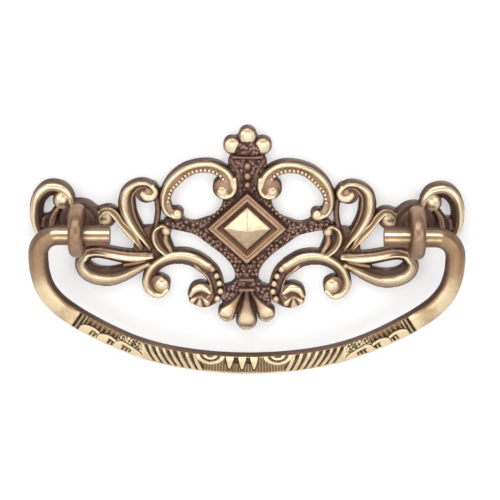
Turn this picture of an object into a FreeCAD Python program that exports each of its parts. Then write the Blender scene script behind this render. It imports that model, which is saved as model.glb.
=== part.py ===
import FreeCAD, Part
import math
import os

# Antique brass bail pull, 3 inch centres. Lengths in mm.
# +X right, +Z up, the front faces -Y. The back of the plate lies on y = 0 and
# the origin is midway between the two posts. Heights are measured forward
# from the back of the plate.

# Mounting
CENTRES = 76.2
DRAWER_FRONT = 19.0
SHANK_R = 2.2
THREAD_DEPTH = 0.15
THREAD_INSIDE = 2.0
THREAD_PAST = 3.8
NECK_STEP = 0.5
FIT_GAP = 0.05

# Plate: ground, flat seats of the curls, crests and their parts
GROUND_H = 2.1
SEAT_H = 2.5
PAD_H = 3.0
CREST_H = 3.3
CREST_RISE = 0.6
LOW_RISE = 0.4
BEVEL_RISE = 0.9
FINE_EDGE = 0.21
EDGE = 0.3
SLIM_EDGE = 0.45
SLOPE = 0.7
BEVEL = 1.2
WIDE_BEVEL = 1.6
LEAF_RISE = 0.3
PETAL_RISE = 0.6
DOME_RISE = 1.1
PAD_LEDGE = 1.0
CHAIN_BEAD_R = 0.85
NECK_BEAD_R = 0.95

# Largest step between a curve and the flats that follow it
SMOOTH = 0.06
# Overlap that lets one solid enter another or a cut pass through
LAP = 0.5

# Eye post
EYE_PLAY = 1.15
EYE_WALL = 2.8
EYE_WIDTH = 3.4
EYE_CHAMFER = 0.95
EYE_SINK = 0.6
EYE_SIDES = 24
COLLAR_LEDGE = 0.9
COLLAR_H = 1.0
STEM_R = 2.4

# Bail
ROD_R = 2.25
STUB_REACH = 7.3
ARM_REACH = 8.95
BEND_R = 4.6
BEND_STEPS = 6
BAR_SIDES = 16

# Nut
NUT_FLATS = 8.0
NUT_H = 3.2

# Sizes that follow
POST_X = CENTRES / 2
THREAD_R = SHANK_R - THREAD_DEPTH
THREAD_START = DRAWER_FRONT - THREAD_INSIDE
SHANK_END = DRAWER_FRONT + NUT_H + THREAD_PAST
NECK_R = SHANK_R + NECK_STEP
COLLAR_R = NECK_R + COLLAR_LEDGE
EYE_HOLE_R = ROD_R + EYE_PLAY
EYE_OUTER_R = EYE_HOLE_R + EYE_WALL
EYE_Y = PAD_H + COLLAR_H - EYE_SINK + EYE_OUTER_R
STUB_DROP = EYE_PLAY - FIT_GAP
STUB_END = POST_X - STUB_REACH
ARM_X = POST_X + ARM_REACH

# The outlines below are drawn for posts this far from the middle, and are
# spread sideways with the posts
DRAWN_POST_X = 38.1
SPREAD = POST_X / DRAWN_POST_X


ORIGIN = FreeCAD.Vector(0, 0, 0)
ACROSS = FreeCAD.Vector(1, 0, 0)
BACK = FreeCAD.Vector(0, 1, 0)
UP = FreeCAD.Vector(0, 0, 1)


def point(x, z, height=0.0):
    return FreeCAD.Vector(x, -height, z)


def curve(points):
    """Smooth curve through drawn points in the plane of the plate."""
    line = Part.BSplineCurve()
    line.interpolate([point(p[0] * SPREAD, p[1]) for p in points])
    return line


def skin(rows, split=False):
    """Solid between outlines that have equally many corners.

    The last row may be one corner, which makes a peak. split makes each side
    from two triangles, for outlines that twist.
    """
    faces = [Part.Face(Part.makePolygon(rows[0] + rows[0][:1]))]
    for low, high in zip(rows, rows[1:]):
        for i in range(len(low)):
            after = (i + 1) % len(low)
            if len(high) == 1:
                sides = [[low[i], low[after], high[0]]]
            elif split:
                sides = [[low[i], low[after], high[i]], [low[after], high[after], high[i]]]
            else:
                sides = [[low[i], low[after], high[after], high[i]]]
            faces += [Part.Face(Part.makePolygon(side + side[:1])) for side in sides]
    if len(rows[-1]) > 1:
        faces.append(Part.Face(Part.makePolygon(rows[-1] + rows[-1][:1])))
    solid = Part.makeSolid(Part.makeShell(faces))
    if solid.Volume < 0:
        solid.reverse()
    return solid


def stack(layers):
    """Solid through outlines in the plane of the plate, each with its height."""
    return skin([[point(x, z, height) for x, z in corners] for corners, height in layers])


def inset(corners, steps):
    """Outline whose sides are moved inwards, each by its own step."""
    count = len(corners)
    area = sum(
        corners[i - 1][0] * corners[i][1] - corners[i][0] * corners[i - 1][1]
        for i in range(count)
    )
    way = 1 if area > 0 else -1
    lines = []
    for i in range(count):
        x, z = corners[i]
        dx = corners[(i + 1) % count][0] - x
        dz = corners[(i + 1) % count][1] - z
        size = math.hypot(dx, dz)
        nx, nz = -dz / size * way, dx / size * way
        lines.append((nx, nz, nx * x + nz * z + steps[i]))
    result = []
    for i in range(count):
        a, b = lines[i - 1], lines[i]
        cross = a[0] * b[1] - a[1] * b[0]
        if abs(cross) < 1e-4:
            x, z = corners[i]
            result.append((x + b[0] * steps[i], z + b[1] * steps[i]))
            continue
        x = (a[2] * b[1] - b[2] * a[1]) / cross
        z = (a[0] * b[2] - b[0] * a[2]) / cross
        result.append((x, z))
    return result


def width_at(line, points, at):
    """Half width of a band at a parameter of its curve."""
    places = [line.parameter(point(p[0] * SPREAD, p[1])) for p in points]
    last = len(points) - 2
    i = next((n for n in range(last) if at <= places[n + 1]), last)
    share = (at - places[i]) / (places[i + 1] - places[i])
    return points[i][2] + (points[i + 1][2] - points[i][2]) * share


def lane(points, top, rise, left, right, end=0.0):
    """Solid band along a curve, with upright walls and a raised crest.

    Each point is x, z and a half width. The walls stop short of the top by
    rise, and the crest stands in from them by left and right, and from the
    two ends by end.
    """
    line = curve(points)
    one, two = [], []
    for spot in line.toShape().discretize(QuasiDeflection=SMOOTH):
        at = line.parameter(spot)
        run = line.tangent(at)[0]
        half = width_at(line, points, at)
        one.append((spot.x - run.z * half, spot.z + run.x * half))
        two.append((spot.x + run.z * half, spot.z - run.x * half))
    foot = one + two[::-1]
    gaps = len(one) - 1
    steps = [left] * gaps + [end] + [right] * gaps + [end]
    return stack([(foot, 0.0), (foot, top - rise), (inset(foot, steps), top)])


def web(points, top):
    """Flat ground with a smooth outline."""
    line = Part.BSplineCurve()
    line.interpolate(Points=[point(x * SPREAD, z) for x, z in points], PeriodicFlag=True)
    spots = line.toShape().discretize(QuasiDeflection=SMOOTH)
    corners = [(p.x, p.z) for p in spots[:-1]]
    return stack([(corners, 0.0), (corners, top)])


def round_corners(x, z, radius, count):
    turn = 2 * math.pi / count
    return [
        (x + radius * math.cos(turn * (i + 0.5)), z + radius * math.sin(turn * (i + 0.5)))
        for i in range(count)
    ]


def disc(x, z, radius, top):
    corners = round_corners(x * SPREAD, z, radius, 24)
    return stack([(corners, 0.0), (corners, top)])


def dome(x, z, radius, top, sides=10):
    """Ball end in flat facets, with a small flat on its top."""
    foot = round_corners(x * SPREAD, z, radius, sides)
    layers = [(foot, 0.0)]
    for lift in (0.0, 0.7, 1.0):
        reach = radius * math.sqrt(1 - (lift * 0.93) ** 2)
        layers.append((round_corners(x * SPREAD, z, reach, sides), top - DOME_RISE * (1 - lift)))
    return stack(layers)


def bead(x, z, radius, top):
    """Small six sided boss that stands for a round bead."""
    wide = round_corners(x * SPREAD, z, radius, 6)
    narrow = round_corners(x * SPREAD, z, radius / 2, 6)
    return stack([(wide, LAP), (wide, top - radius * 0.6), (narrow, top)])


def both(shapes):
    """The shapes and their mirror images across x = 0."""
    return shapes + [shape.mirror(ORIGIN, ACROSS) for shape in shapes]


def join(shapes):
    return shapes[0].multiFuse(shapes[1:]).removeSplitter()


# End scroll beside the post
END_SCROLL = [
    (46.6, -4.4, 0.9),
    (47.8, -1.6, 1.2),
    (48.1, 1.6, 1.45),
    (47.4, 4.9, 1.65),
    (45.2, 7.2, 1.75),
    (42.4, 7.1, 1.65),
    (40.7, 5.5, 1.3),
    (40.1, 3.8, 0.8),
]
# Small comma scroll between the post and the C scroll
COMMA = [
    (33.9, -0.6, 0.5),
    (34.0, 0.9, 0.55),
    (32.9, 2.2, 0.75),
    (31.2, 2.3, 0.9),
    (29.9, 1.1, 1.0),
    (28.6, -0.9, 0.9),
    (26.3, -3.6, 1.05),
    (24.2, -6.6, 0.45),
]
# Plain C scroll
C_SCROLL = [
    (21.3, 7.3, 0.8),
    (23.0, 8.5, 0.95),
    (25.3, 8.1, 1.2),
    (27.1, 6.1, 1.75),
    (27.4, 3.3, 2.0),
    (26.6, 0.5, 1.7),
    (25.1, -2.3, 1.4),
    (23.5, -4.6, 0.9),
    (22.2, -6.6, 0.55),
]
# Little spiral under the C scroll
HOOK = [
    (18.0, -2.1, 0.5),
    (19.4, -1.5, 0.7),
    (20.9, -2.6, 0.8),
    (21.1, -4.5, 0.85),
    (20.1, -6.7, 0.85),
    (18.2, -8.4, 0.7),
]
# Large beaded C scroll, middle of the band
BIG_SCROLL = [
    (16.6, 1.3, 1.0),
    (18.1, 2.4, 1.2),
    (18.7, 4.8, 1.25),
    (18.1, 7.4, 1.4),
    (16.5, 9.7, 1.55),
    (14.3, 11.6, 1.5),
    (12.0, 12.6, 1.4),
    (9.9, 12.95, 1.4),
    (7.9, 12.8, 1.45),
    (5.9, 11.9, 1.5),
    (4.4, 10.3, 1.5),
    (3.8, 8.4, 1.3),
]
BIG_CURL = [
    (2.8, 10.0, 0.4),
    (2.8, 8.1, 0.4),
    (3.9, 6.3, 0.45),
    (5.6, 5.8, 0.45),
    (6.9, 6.9, 0.4),
]
# Lower arch with its left curl
ARCH = [
    (18.8, -17.0, 0.9),
    (20.5, -18.0, 1.35),
    (22.2, -17.0, 1.45),
    (22.8, -14.8, 1.45),
    (21.9, -12.4, 1.45),
    (20.1, -10.6, 1.5),
    (17.7, -9.4, 1.7),
    (15.0, -9.1, 1.85),
    (12.3, -9.7, 1.9),
    (9.8, -11.3, 1.9),
]
# Loop under the post
LOOP_UPPER = [
    (37.4, -9.6, 1.2),
    (36.3, -8.3, 1.45),
    (34.2, -8.0, 1.5),
    (31.6, -8.5, 1.5),
    (28.6, -9.1, 1.55),
    (25.4, -9.3, 1.5),
    (22.4, -8.9, 1.1),
]
LOOP_LOWER = [
    (37.0, -8.9, 1.2),
    (37.9, -10.6, 1.75),
    (37.1, -12.6, 2.05),
    (35.0, -13.9, 2.1),
    (32.0, -14.25, 2.1),
    (29.2, -13.6, 1.9),
    (26.4, -12.3, 1.6),
    (23.2, -10.8, 1.0),
]


# Ridges on the ground of the plate
LEAVES = [
    [(42.9, 2.9, 0.45), (44.0, 1.2, 0.5), (44.6, -0.6, 0.5), (45.0, -2.6, 0.4)],
    [(46.4, 0.0, 0.3), (46.7, -1.6, 0.3)],
    [(28.2, -11.0, 0.4), (26.0, -10.6, 0.45), (23.6, -10.0, 0.35)],
    [(13.0, -18.3, 0.5), (11.9, -16.9, 0.8), (10.2, -16.6, 0.8), (8.7, -17.7, 0.45)],
    [(3.7, 14.3, 0.3), (2.9, 12.9, 0.3), (2.0, 11.0, 0.3), (2.0, 8.6, 0.3)],
    [(20.7, 6.0, 0.5), (20.35, 3.0, 0.45), (20.5, 0.5, 0.5), (21.0, -1.8, 0.5)],
    [(18.6, -3.4, 0.5), (18.6, -5.2, 0.7), (17.6, -7.2, 0.6)],
]
# Ball ends of the curls: x, z and radius
CURL_ENDS = [
    (42.1, 4.4, 1.85),
    (32.9, 0.5, 1.25),
    (4.9, 8.1, 1.3),
    (22.6, 6.5, 1.35),
    (15.95, 1.5, 1.35),
    (19.1, -16.2, 1.65),
    (18.5, -2.6, 1.1),
]
# Flat round seats that the curls close on: x, z and radius
CURL_SEATS = [
    (5.1, 7.8, 2.75),
    (32.4, 0.6, 2.5),
    (23.0, 6.6, 2.4),
    (10.6, -18.3, 3.0),
]
# Base of the bead chain that closes the arch
CHAIN = [
    (10.4, -10.8, 1.8),
    (8.2, -12.9, 1.8),
    (7.1, -15.4, 1.7),
    (7.0, -17.7, 1.6),
    (8.1, -19.5, 1.4),
    (10.1, -20.4, 1.2),
    (12.3, -19.8, 0.9),
]
CHAIN_BEADS = [
    (7.6, -12.3),
    (6.7, -14.1),
    (6.1, -16.1),
    (6.1, -18.0),
    (7.0, -19.5),
    (8.5, -20.5),
    (10.2, -20.9),
    (11.9, -20.2),
]
# Right edge of the middle body, from the finial down to the shell
BODY = [
    (0.1, 20.8),
    (2.2, 20.0),
    (4.2, 18.4),
    (4.5, 16.9),
    (3.9, 15.4),
    (4.4, 13.8),
    (3.8, 11.5),
    (3.5, 8.0),
    (5.4, 4.6),
    (6.1, 2.4),
    (7.5, 0.9),
    (9.6, 0.1),
    (12.0, -0.6),
    (13.9, -0.2),
    (15.8, 0.9),
    (18.6, 0.2),
    (19.2, -1.8),
    (17.2, -2.3),
    (14.4, -2.9),
    (11.8, -3.7),
    (9.4, -5.5),
    (7.5, -7.0),
    (5.6, -8.6),
    (4.0, -10.4),
    (3.0, -12.2),
    (2.7, -13.9),
    (3.2, -15.6),
    (5.2, -16.6),
    (5.9, -19.0),
    (4.9, -22.0),
    (1.8, -23.5),
    (0.1, -23.6),
]
# Ground where the scrolls meet, and around the post
KNOT = [
    (25.6, -3.7),
    (23.2, -1.9),
    (21.4, -1.8),
    (19.4, -1.6),
    (17.9, -3.0),
    (17.5, -5.0),
    (16.9, -6.8),
    (16.8, -8.4),
    (19.5, -10.2),
    (22.0, -12.0),
    (24.8, -12.2),
    (28.4, -12.0),
    (28.7, -10.4),
    (26.5, -8.6),
    (26.0, -5.8),
]
SEAT = [
    (34.2, 1.9),
    (36.4, 2.6),
    (38.6, 3.9),
    (41.0, 3.6),
    (43.6, 2.5),
    (45.0, 1.2),
    (46.8, 0.4),
    (47.6, -2.8),
    (46.2, -4.7),
    (43.5, -3.8),
    (41.3, -4.8),
    (40.3, -8.3),
    (36.9, -8.3),
    (34.9, -5.2),
    (33.4, -2.6),
    (32.8, -0.4),
]
# Petals of the shell, and the stem of the finial
SIDE_PETAL = [(1.2, -17.8, 0.5), (2.8, -20.3, 1.0), (4.2, -22.5, 1.9)]
MIDDLE_PETAL = [(0, -17.8, 0.8), (0, -21.0, 1.4), (0, -24.2, 2.2)]
FINIAL_STEM = [(0, 16.2, 1.2), (0, 20.0, 1.7)]
# Lobes of the finial and the shell, at the sides and at the ends: x, z, radius
SIDE_LOBES = [(3.5, 17.9, 1.95), (4.5, -22.9, 2.15)]
END_LOBES = [(0, 20.2, 2.0), (0, -24.6, 2.55)]
# Beads over the diamond: z
NECK_BEADS = [13.1, 10.7, 8.6]
# Straight mouldings over the centre line: half length, z and half width
MOULDINGS = [(3.4, 15.1, 0.4), (1.5, -14.5, 0.45), (1.5, -17.0, 0.5)]
# Middle diamond: half width, half height, middle, and how far each step
# stands in from the edge and over the ground
DIAMOND_W = 9.17
DIAMOND_H = 8.7
DIAMOND_Z = -1.75
DIAMOND_PEAK = 2.9
DIAMOND_STEPS = [
    (0.0, 0.9),
    (0.19, 1.3),
    (0.39, 1.3),
    (0.6, 0.6),
    (0.9, 0.6),
    (1.08, 1.2),
    (1.32, 1.2),
    (1.5, 0.3),
    (1.92, 0.3),
    (2.04, 0.8),
]


def half_plate():
    """Scrolls of one half of the plate."""
    bands = [
        lane(END_SCROLL, CREST_H, CREST_RISE, SLOPE, SLIM_EDGE),
        lane(COMMA, CREST_H, LOW_RISE, EDGE, EDGE),
        lane(C_SCROLL, CREST_H, CREST_RISE, SLIM_EDGE, SLIM_EDGE),
        lane(HOOK, CREST_H, LOW_RISE, EDGE, EDGE),
        lane(BIG_SCROLL, CREST_H, BEVEL_RISE, WIDE_BEVEL, SLIM_EDGE / 2),
        lane(BIG_CURL, CREST_H, LOW_RISE, FINE_EDGE, FINE_EDGE),
        lane(ARCH, CREST_H, BEVEL_RISE, BEVEL, EDGE),
        lane(LOOP_UPPER, CREST_H, BEVEL_RISE, SLIM_EDGE, BEVEL),
        lane(LOOP_LOWER, CREST_H, BEVEL_RISE, BEVEL, SLOPE),
        lane(CHAIN, SEAT_H, LOW_RISE, EDGE, EDGE, EDGE),
    ]
    ridges = [lane(leaf, SEAT_H + LEAF_RISE, LEAF_RISE, FINE_EDGE, FINE_EDGE) for leaf in LEAVES]
    grounds = [
        web(KNOT, GROUND_H),
        web(SEAT, GROUND_H),
        disc(DRAWN_POST_X, 0, COLLAR_R + PAD_LEDGE, PAD_H),
    ]
    seats = [disc(x, z, radius, SEAT_H) for x, z, radius in CURL_SEATS]
    ends = [dome(x, z, radius, CREST_H) for x, z, radius in CURL_ENDS]
    beads = [bead(x, z, CHAIN_BEAD_R, CREST_H) for x, z in CHAIN_BEADS]
    return bands + ridges + grounds + seats + ends + beads


def mirrored_web(points, top):
    """Flat ground that is the same on both sides of x = 0."""
    spots = curve(points).toShape().discretize(QuasiDeflection=SMOOTH)
    right = [(p.x, p.z) for p in spots]
    corners = right + [(-x, z) for x, z in right[::-1]]
    return stack([(corners, 0.0), (corners, top)])


def diamond():
    """Framed diamond with a low four sided peak."""
    slope = DIAMOND_H / DIAMOND_W
    layers = []
    for step, height in [(0.0, -GROUND_H)] + DIAMOND_STEPS:
        wide = DIAMOND_W - step * math.sqrt(2)
        tall = wide * slope
        corners = [(wide, DIAMOND_Z), (0, DIAMOND_Z + tall), (-wide, DIAMOND_Z), (0, DIAMOND_Z - tall)]
        layers.append((corners, GROUND_H + height))
    layers.append(([(0, DIAMOND_Z)], GROUND_H + DIAMOND_PEAK))
    return stack(layers)


def petal(points):
    return lane(points, PAD_H, PETAL_RISE, SLIM_EDGE, SLIM_EDGE)


def moulding(half, z, width):
    """Small straight ridge over the centre line."""
    ends = [(-half, z, width), (half, z, width)]
    return lane(ends, PAD_H, LEAF_RISE, FINE_EDGE, FINE_EDGE, FINE_EDGE)


def middle():
    """Finial, body, diamond and shell on the centre line."""
    sides = [petal(SIDE_PETAL)] + [dome(x, z, radius, PAD_H) for x, z, radius in SIDE_LOBES]
    ends = [dome(x, z, radius, CREST_H) for x, z, radius in END_LOBES]
    beads = [dome(0, z, NECK_BEAD_R, PAD_H, sides=8) for z in NECK_BEADS]
    ridges = [petal(MIDDLE_PETAL), petal(FINIAL_STEM)] + [moulding(*row) for row in MOULDINGS]
    return both(sides) + ends + beads + ridges + [mirrored_web(BODY, GROUND_H), diamond()]


def round_bar(radius, start, end, place, way):
    """Cylinder between two distances along a direction."""
    return Part.makeCylinder(radius, end - start, place + way * start, way)


def backplate():
    body = join(both(half_plate()) + middle())
    for side in (-1, 1):
        foot = FreeCAD.Vector(side * POST_X, 0, 0)
        body = body.cut(round_bar(NECK_R + FIT_GAP, -PAD_H - LAP, LAP, foot, BACK))
    return body


def ring_outline(radius):
    return round_corners(0, 0, radius, EYE_SIDES)


def eye_post(side):
    """Ring eye on a collar, with a neck in the plate and a threaded shank."""
    foot = FreeCAD.Vector(side * POST_X, 0, 0)
    centre = foot - BACK * EYE_Y
    seat = PAD_H + COLLAR_H
    edge = EYE_WIDTH / 2
    ring = stack([
        (ring_outline(EYE_OUTER_R - EYE_CHAMFER), -edge),
        (ring_outline(EYE_OUTER_R), EYE_CHAMFER - edge),
        (ring_outline(EYE_OUTER_R), edge - EYE_CHAMFER),
        (ring_outline(EYE_OUTER_R - EYE_CHAMFER), edge),
    ])
    ring.rotate(ORIGIN, UP, 90)
    ring.translate(centre)
    solid = ring.multiFuse([
        round_bar(STEM_R, EYE_HOLE_R + LAP - EYE_Y, -PAD_H, foot, BACK),
        round_bar(COLLAR_R, -seat, -PAD_H, foot, BACK),
        round_bar(NECK_R, -seat, 0, foot, BACK),
        round_bar(SHANK_R, 0, THREAD_START, foot, BACK),
        round_bar(THREAD_R, THREAD_START, SHANK_END, foot, BACK),
    ]).removeSplitter()
    solid = solid.cut(round_bar(EYE_HOLE_R, -EYE_WIDTH, EYE_WIDTH, centre, ACROSS))
    for way in (-1, 1):
        mouth = stack([
            (ring_outline(EYE_HOLE_R - LAP), edge - EYE_CHAMFER - LAP),
            (ring_outline(EYE_HOLE_R + EYE_CHAMFER), edge),
            (ring_outline(EYE_HOLE_R + EYE_CHAMFER), edge + LAP),
        ])
        mouth.rotate(ORIGIN, UP, 90 * way)
        mouth.translate(centre)
        solid = solid.cut(mouth)
    return solid


def nut(side):
    """Hexagon nut that draws the post to the drawer front."""
    seat = FreeCAD.Vector(side * POST_X, DRAWER_FRONT, 0)
    corners = [seat + FreeCAD.Vector(x, 0, z) for x, z in round_corners(0, 0, NUT_FLATS / math.sqrt(3), 6)]
    block = Part.Face(Part.makePolygon(corners + corners[:1])).extrude(BACK * NUT_H)
    return block.cut(round_bar(THREAD_R + FIT_GAP, -LAP, NUT_H + LAP, seat, BACK))


# The bar from one arm to the middle: distance from the middle, depth below the
# bend, how much taller and how much thinner than the rod it is, and how square
BAR = [
    (47.05, 1.5, 0.0, 0.0, 2.0),
    (46.8, 4.5, 0.0, 0.05, 2.1),
    (45.7, 8.2, 0.0, 0.25, 2.4),
    (43.3, 11.7, 0.0, 0.45, 3.0),
    (39.6, 14.8, -0.05, 0.6, 3.6),
    (35.2, 17.6, -0.1, 0.65, 4.0),
    (30.2, 20.3, -0.15, 0.65, 4.0),
    (24.5, 22.8, -0.15, 0.65, 4.0),
    (17.6, 24.8, -0.1, 0.65, 4.0),
    (9.0, 26.2, 0.0, 0.65, 4.0),
    (0.0, 26.7, 0.05, 0.65, 4.0),
]
BAR_SPREAD = ARM_X / BAR[0][0]
# Share of its depth that a fully square section loses to its flat front
FRONT_FLAT = 0.06


def bar_section(place, run, taller=0.0, thinner=0.0, square=2.0):
    """Outline of the bar square to its run, flat on the front."""
    up = FreeCAD.Vector(-run.z, 0, run.x)
    depth = ROD_R - thinner
    front = depth * (1 - FRONT_FLAT * (square - 2) / 2)
    corners = []
    for i in range(BAR_SIDES):
        turn = 2 * math.pi * i / BAR_SIDES
        c, s = math.cos(turn), math.sin(turn)
        rise = math.copysign(abs(c) ** (2 / square), c) * (ROD_R + taller)
        reach = math.copysign(abs(s) ** (2 / square), s) * depth
        corners.append(place + up * rise + BACK * max(reach, -front))
    return corners


def lower_bar():
    """Sections of the bar from the right arm to the left one."""
    bend_end = STUB_DROP + BEND_R
    stations = [(x * BAR_SPREAD, -bend_end - drop, *rest) for x, drop, *rest in BAR]
    stations += [(-x, *rest) for x, *rest in stations[-2::-1]]
    spots = [FreeCAD.Vector(x, -EYE_Y, z) for x, z, *rest in stations]
    line = Part.BSplineCurve()
    line.interpolate(spots)
    places = [line.parameter(spot) for spot in spots]
    rows = []
    for spot in line.toShape().discretize(QuasiDeflection=SMOOTH):
        at = line.parameter(spot)
        i = sum(1 for place in places[1:-1] if place <= at)
        share = (at - places[i]) / (places[i + 1] - places[i])
        blend = [a + (b - a) * share for a, b in zip(stations[i][2:], stations[i + 1][2:])]
        rows.append(bar_section(spot, line.tangent(at)[0], *blend))
    return rows


def bends():
    """Sections of the two bends, each from its end in the eye outwards."""
    right, left = [], []
    for step in range(BEND_STEPS + 1):
        turn = math.pi / 2 * step / BEND_STEPS
        c, s = math.cos(turn), math.sin(turn)
        x = ARM_X - BEND_R + BEND_R * s
        z = -STUB_DROP - BEND_R + BEND_R * c
        right.append(bar_section(FreeCAD.Vector(x, -EYE_Y, z), FreeCAD.Vector(c, 0, -s)))
        left.append(bar_section(FreeCAD.Vector(-x, -EYE_Y, z), FreeCAD.Vector(c, 0, s)))
    return right, left


def bail():
    """Round ends through the eyes, bent down into a flat faced bar."""
    right, left = bends()
    stubs = []
    for side in (-1, 1):
        start = FreeCAD.Vector(0, -EYE_Y, -STUB_DROP)
        stubs.append(round_bar(ROD_R, STUB_END, ARM_X - BEND_R + LAP / 2, start, ACROSS * side))
    return skin(right + lower_bar() + left[::-1], split=True).multiFuse(stubs).removeSplitter()


pieces = {
    "backplate": backplate(),
    "bail": bail(),
    "eye_post_left": eye_post(-1),
    "eye_post_right": eye_post(1),
    "nut_left": nut(-1),
    "nut_right": nut(1),
}

os.makedirs("parts", exist_ok=True)
for name, piece in pieces.items():
    solid = piece.Solids[0]
    print(name, len(piece.Solids), solid.isValid(), round(solid.Volume), solid.BoundBox)
    solid.exportStep(f"parts/{name}.step")
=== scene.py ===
import logging
import math
from dataclasses import dataclass, field
from enum import Enum
from typing import Any, Iterable, Optional, Sequence, Union

import bmesh
import bpy
import numpy as np
from mathutils import Matrix, Vector
from mathutils.geometry import delaunay_2d_cdt


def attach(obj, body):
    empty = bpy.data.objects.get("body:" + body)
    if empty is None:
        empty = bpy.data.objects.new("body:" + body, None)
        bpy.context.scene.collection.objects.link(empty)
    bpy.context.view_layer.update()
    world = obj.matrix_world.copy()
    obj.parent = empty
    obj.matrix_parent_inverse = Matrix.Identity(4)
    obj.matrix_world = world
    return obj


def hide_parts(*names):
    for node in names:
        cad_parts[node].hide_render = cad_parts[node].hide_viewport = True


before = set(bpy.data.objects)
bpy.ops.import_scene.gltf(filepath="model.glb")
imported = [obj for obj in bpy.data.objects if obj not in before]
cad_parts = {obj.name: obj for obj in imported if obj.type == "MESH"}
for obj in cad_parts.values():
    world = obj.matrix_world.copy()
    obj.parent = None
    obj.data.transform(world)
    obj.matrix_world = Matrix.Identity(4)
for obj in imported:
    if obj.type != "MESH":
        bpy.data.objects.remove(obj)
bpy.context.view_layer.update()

LOG = logging.getLogger("bail_pull")
MM = 0.001
SIDES = (-1.0, 1.0)
FAR = 99.0

# Spacing of the samples along sections, bands, outlines and rows of beads, in mm
SECTION_STEP = 0.02
BAND_STEP = 0.06
OUTLINE_STEP = 0.12
BEAD_STEP = 0.15

# Sizes shared by the pieces, in mm, as on the real pull
POST_X = 38.1
PAD_H = 3.0
GROUND_H = 2.1
SEAT_H = 2.5
CREST_H = 3.3
EYE_Y = 9.6
ROD_R = 2.25
STUB_DROP = 1.1

Colour = tuple[float, float, float]
Point2 = tuple[float, float]
Point3 = tuple[float, float, float]
Grid = np.ndarray


class Value:
    """A shader value: the output socket of a node, with Python's operators."""

    def __init__(self, book: "ShaderBook", socket: bpy.types.NodeSocket) -> None:
        """Wraps a socket.

        Args:
            book: the builder that owns the node tree.
            socket: the output socket.
        """
        self.book = book
        self.socket = socket

    def __add__(self, other: "Term") -> "Value":
        """Sum."""
        return self.book.maths("ADD", self, other)

    def __radd__(self, other: "Term") -> "Value":
        """Sum, reflected."""
        return self.book.maths("ADD", other, self)

    def __sub__(self, other: "Term") -> "Value":
        """Difference."""
        return self.book.maths("SUBTRACT", self, other)

    def __rsub__(self, other: "Term") -> "Value":
        """Difference, reflected."""
        return self.book.maths("SUBTRACT", other, self)

    def __mul__(self, other: "Term") -> "Value":
        """Product."""
        return self.book.maths("MULTIPLY", self, other)

    def __rmul__(self, other: "Term") -> "Value":
        """Product, reflected."""
        return self.book.maths("MULTIPLY", other, self)

    def clamped(self) -> "Value":
        """The value held between 0 and 1."""
        made = self.book.node("ShaderNodeClamp", inputs={"Value": self})
        return Value(self.book, made.outputs[0])

    def between(self, low: float, high: float) -> "Value":
        """Smooth step between two values.

        Args:
            low: where the step starts from 0.
            high: where it reaches 1.

        Returns:
            The step.
        """
        settings = {"interpolation_type": "SMOOTHSTEP"}
        inputs = {"Value": self, "From Min": low, "From Max": high}
        return Value(self.book, self.book.node("ShaderNodeMapRange", settings, inputs).outputs[0])


Term = Union[Value, float]


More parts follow.
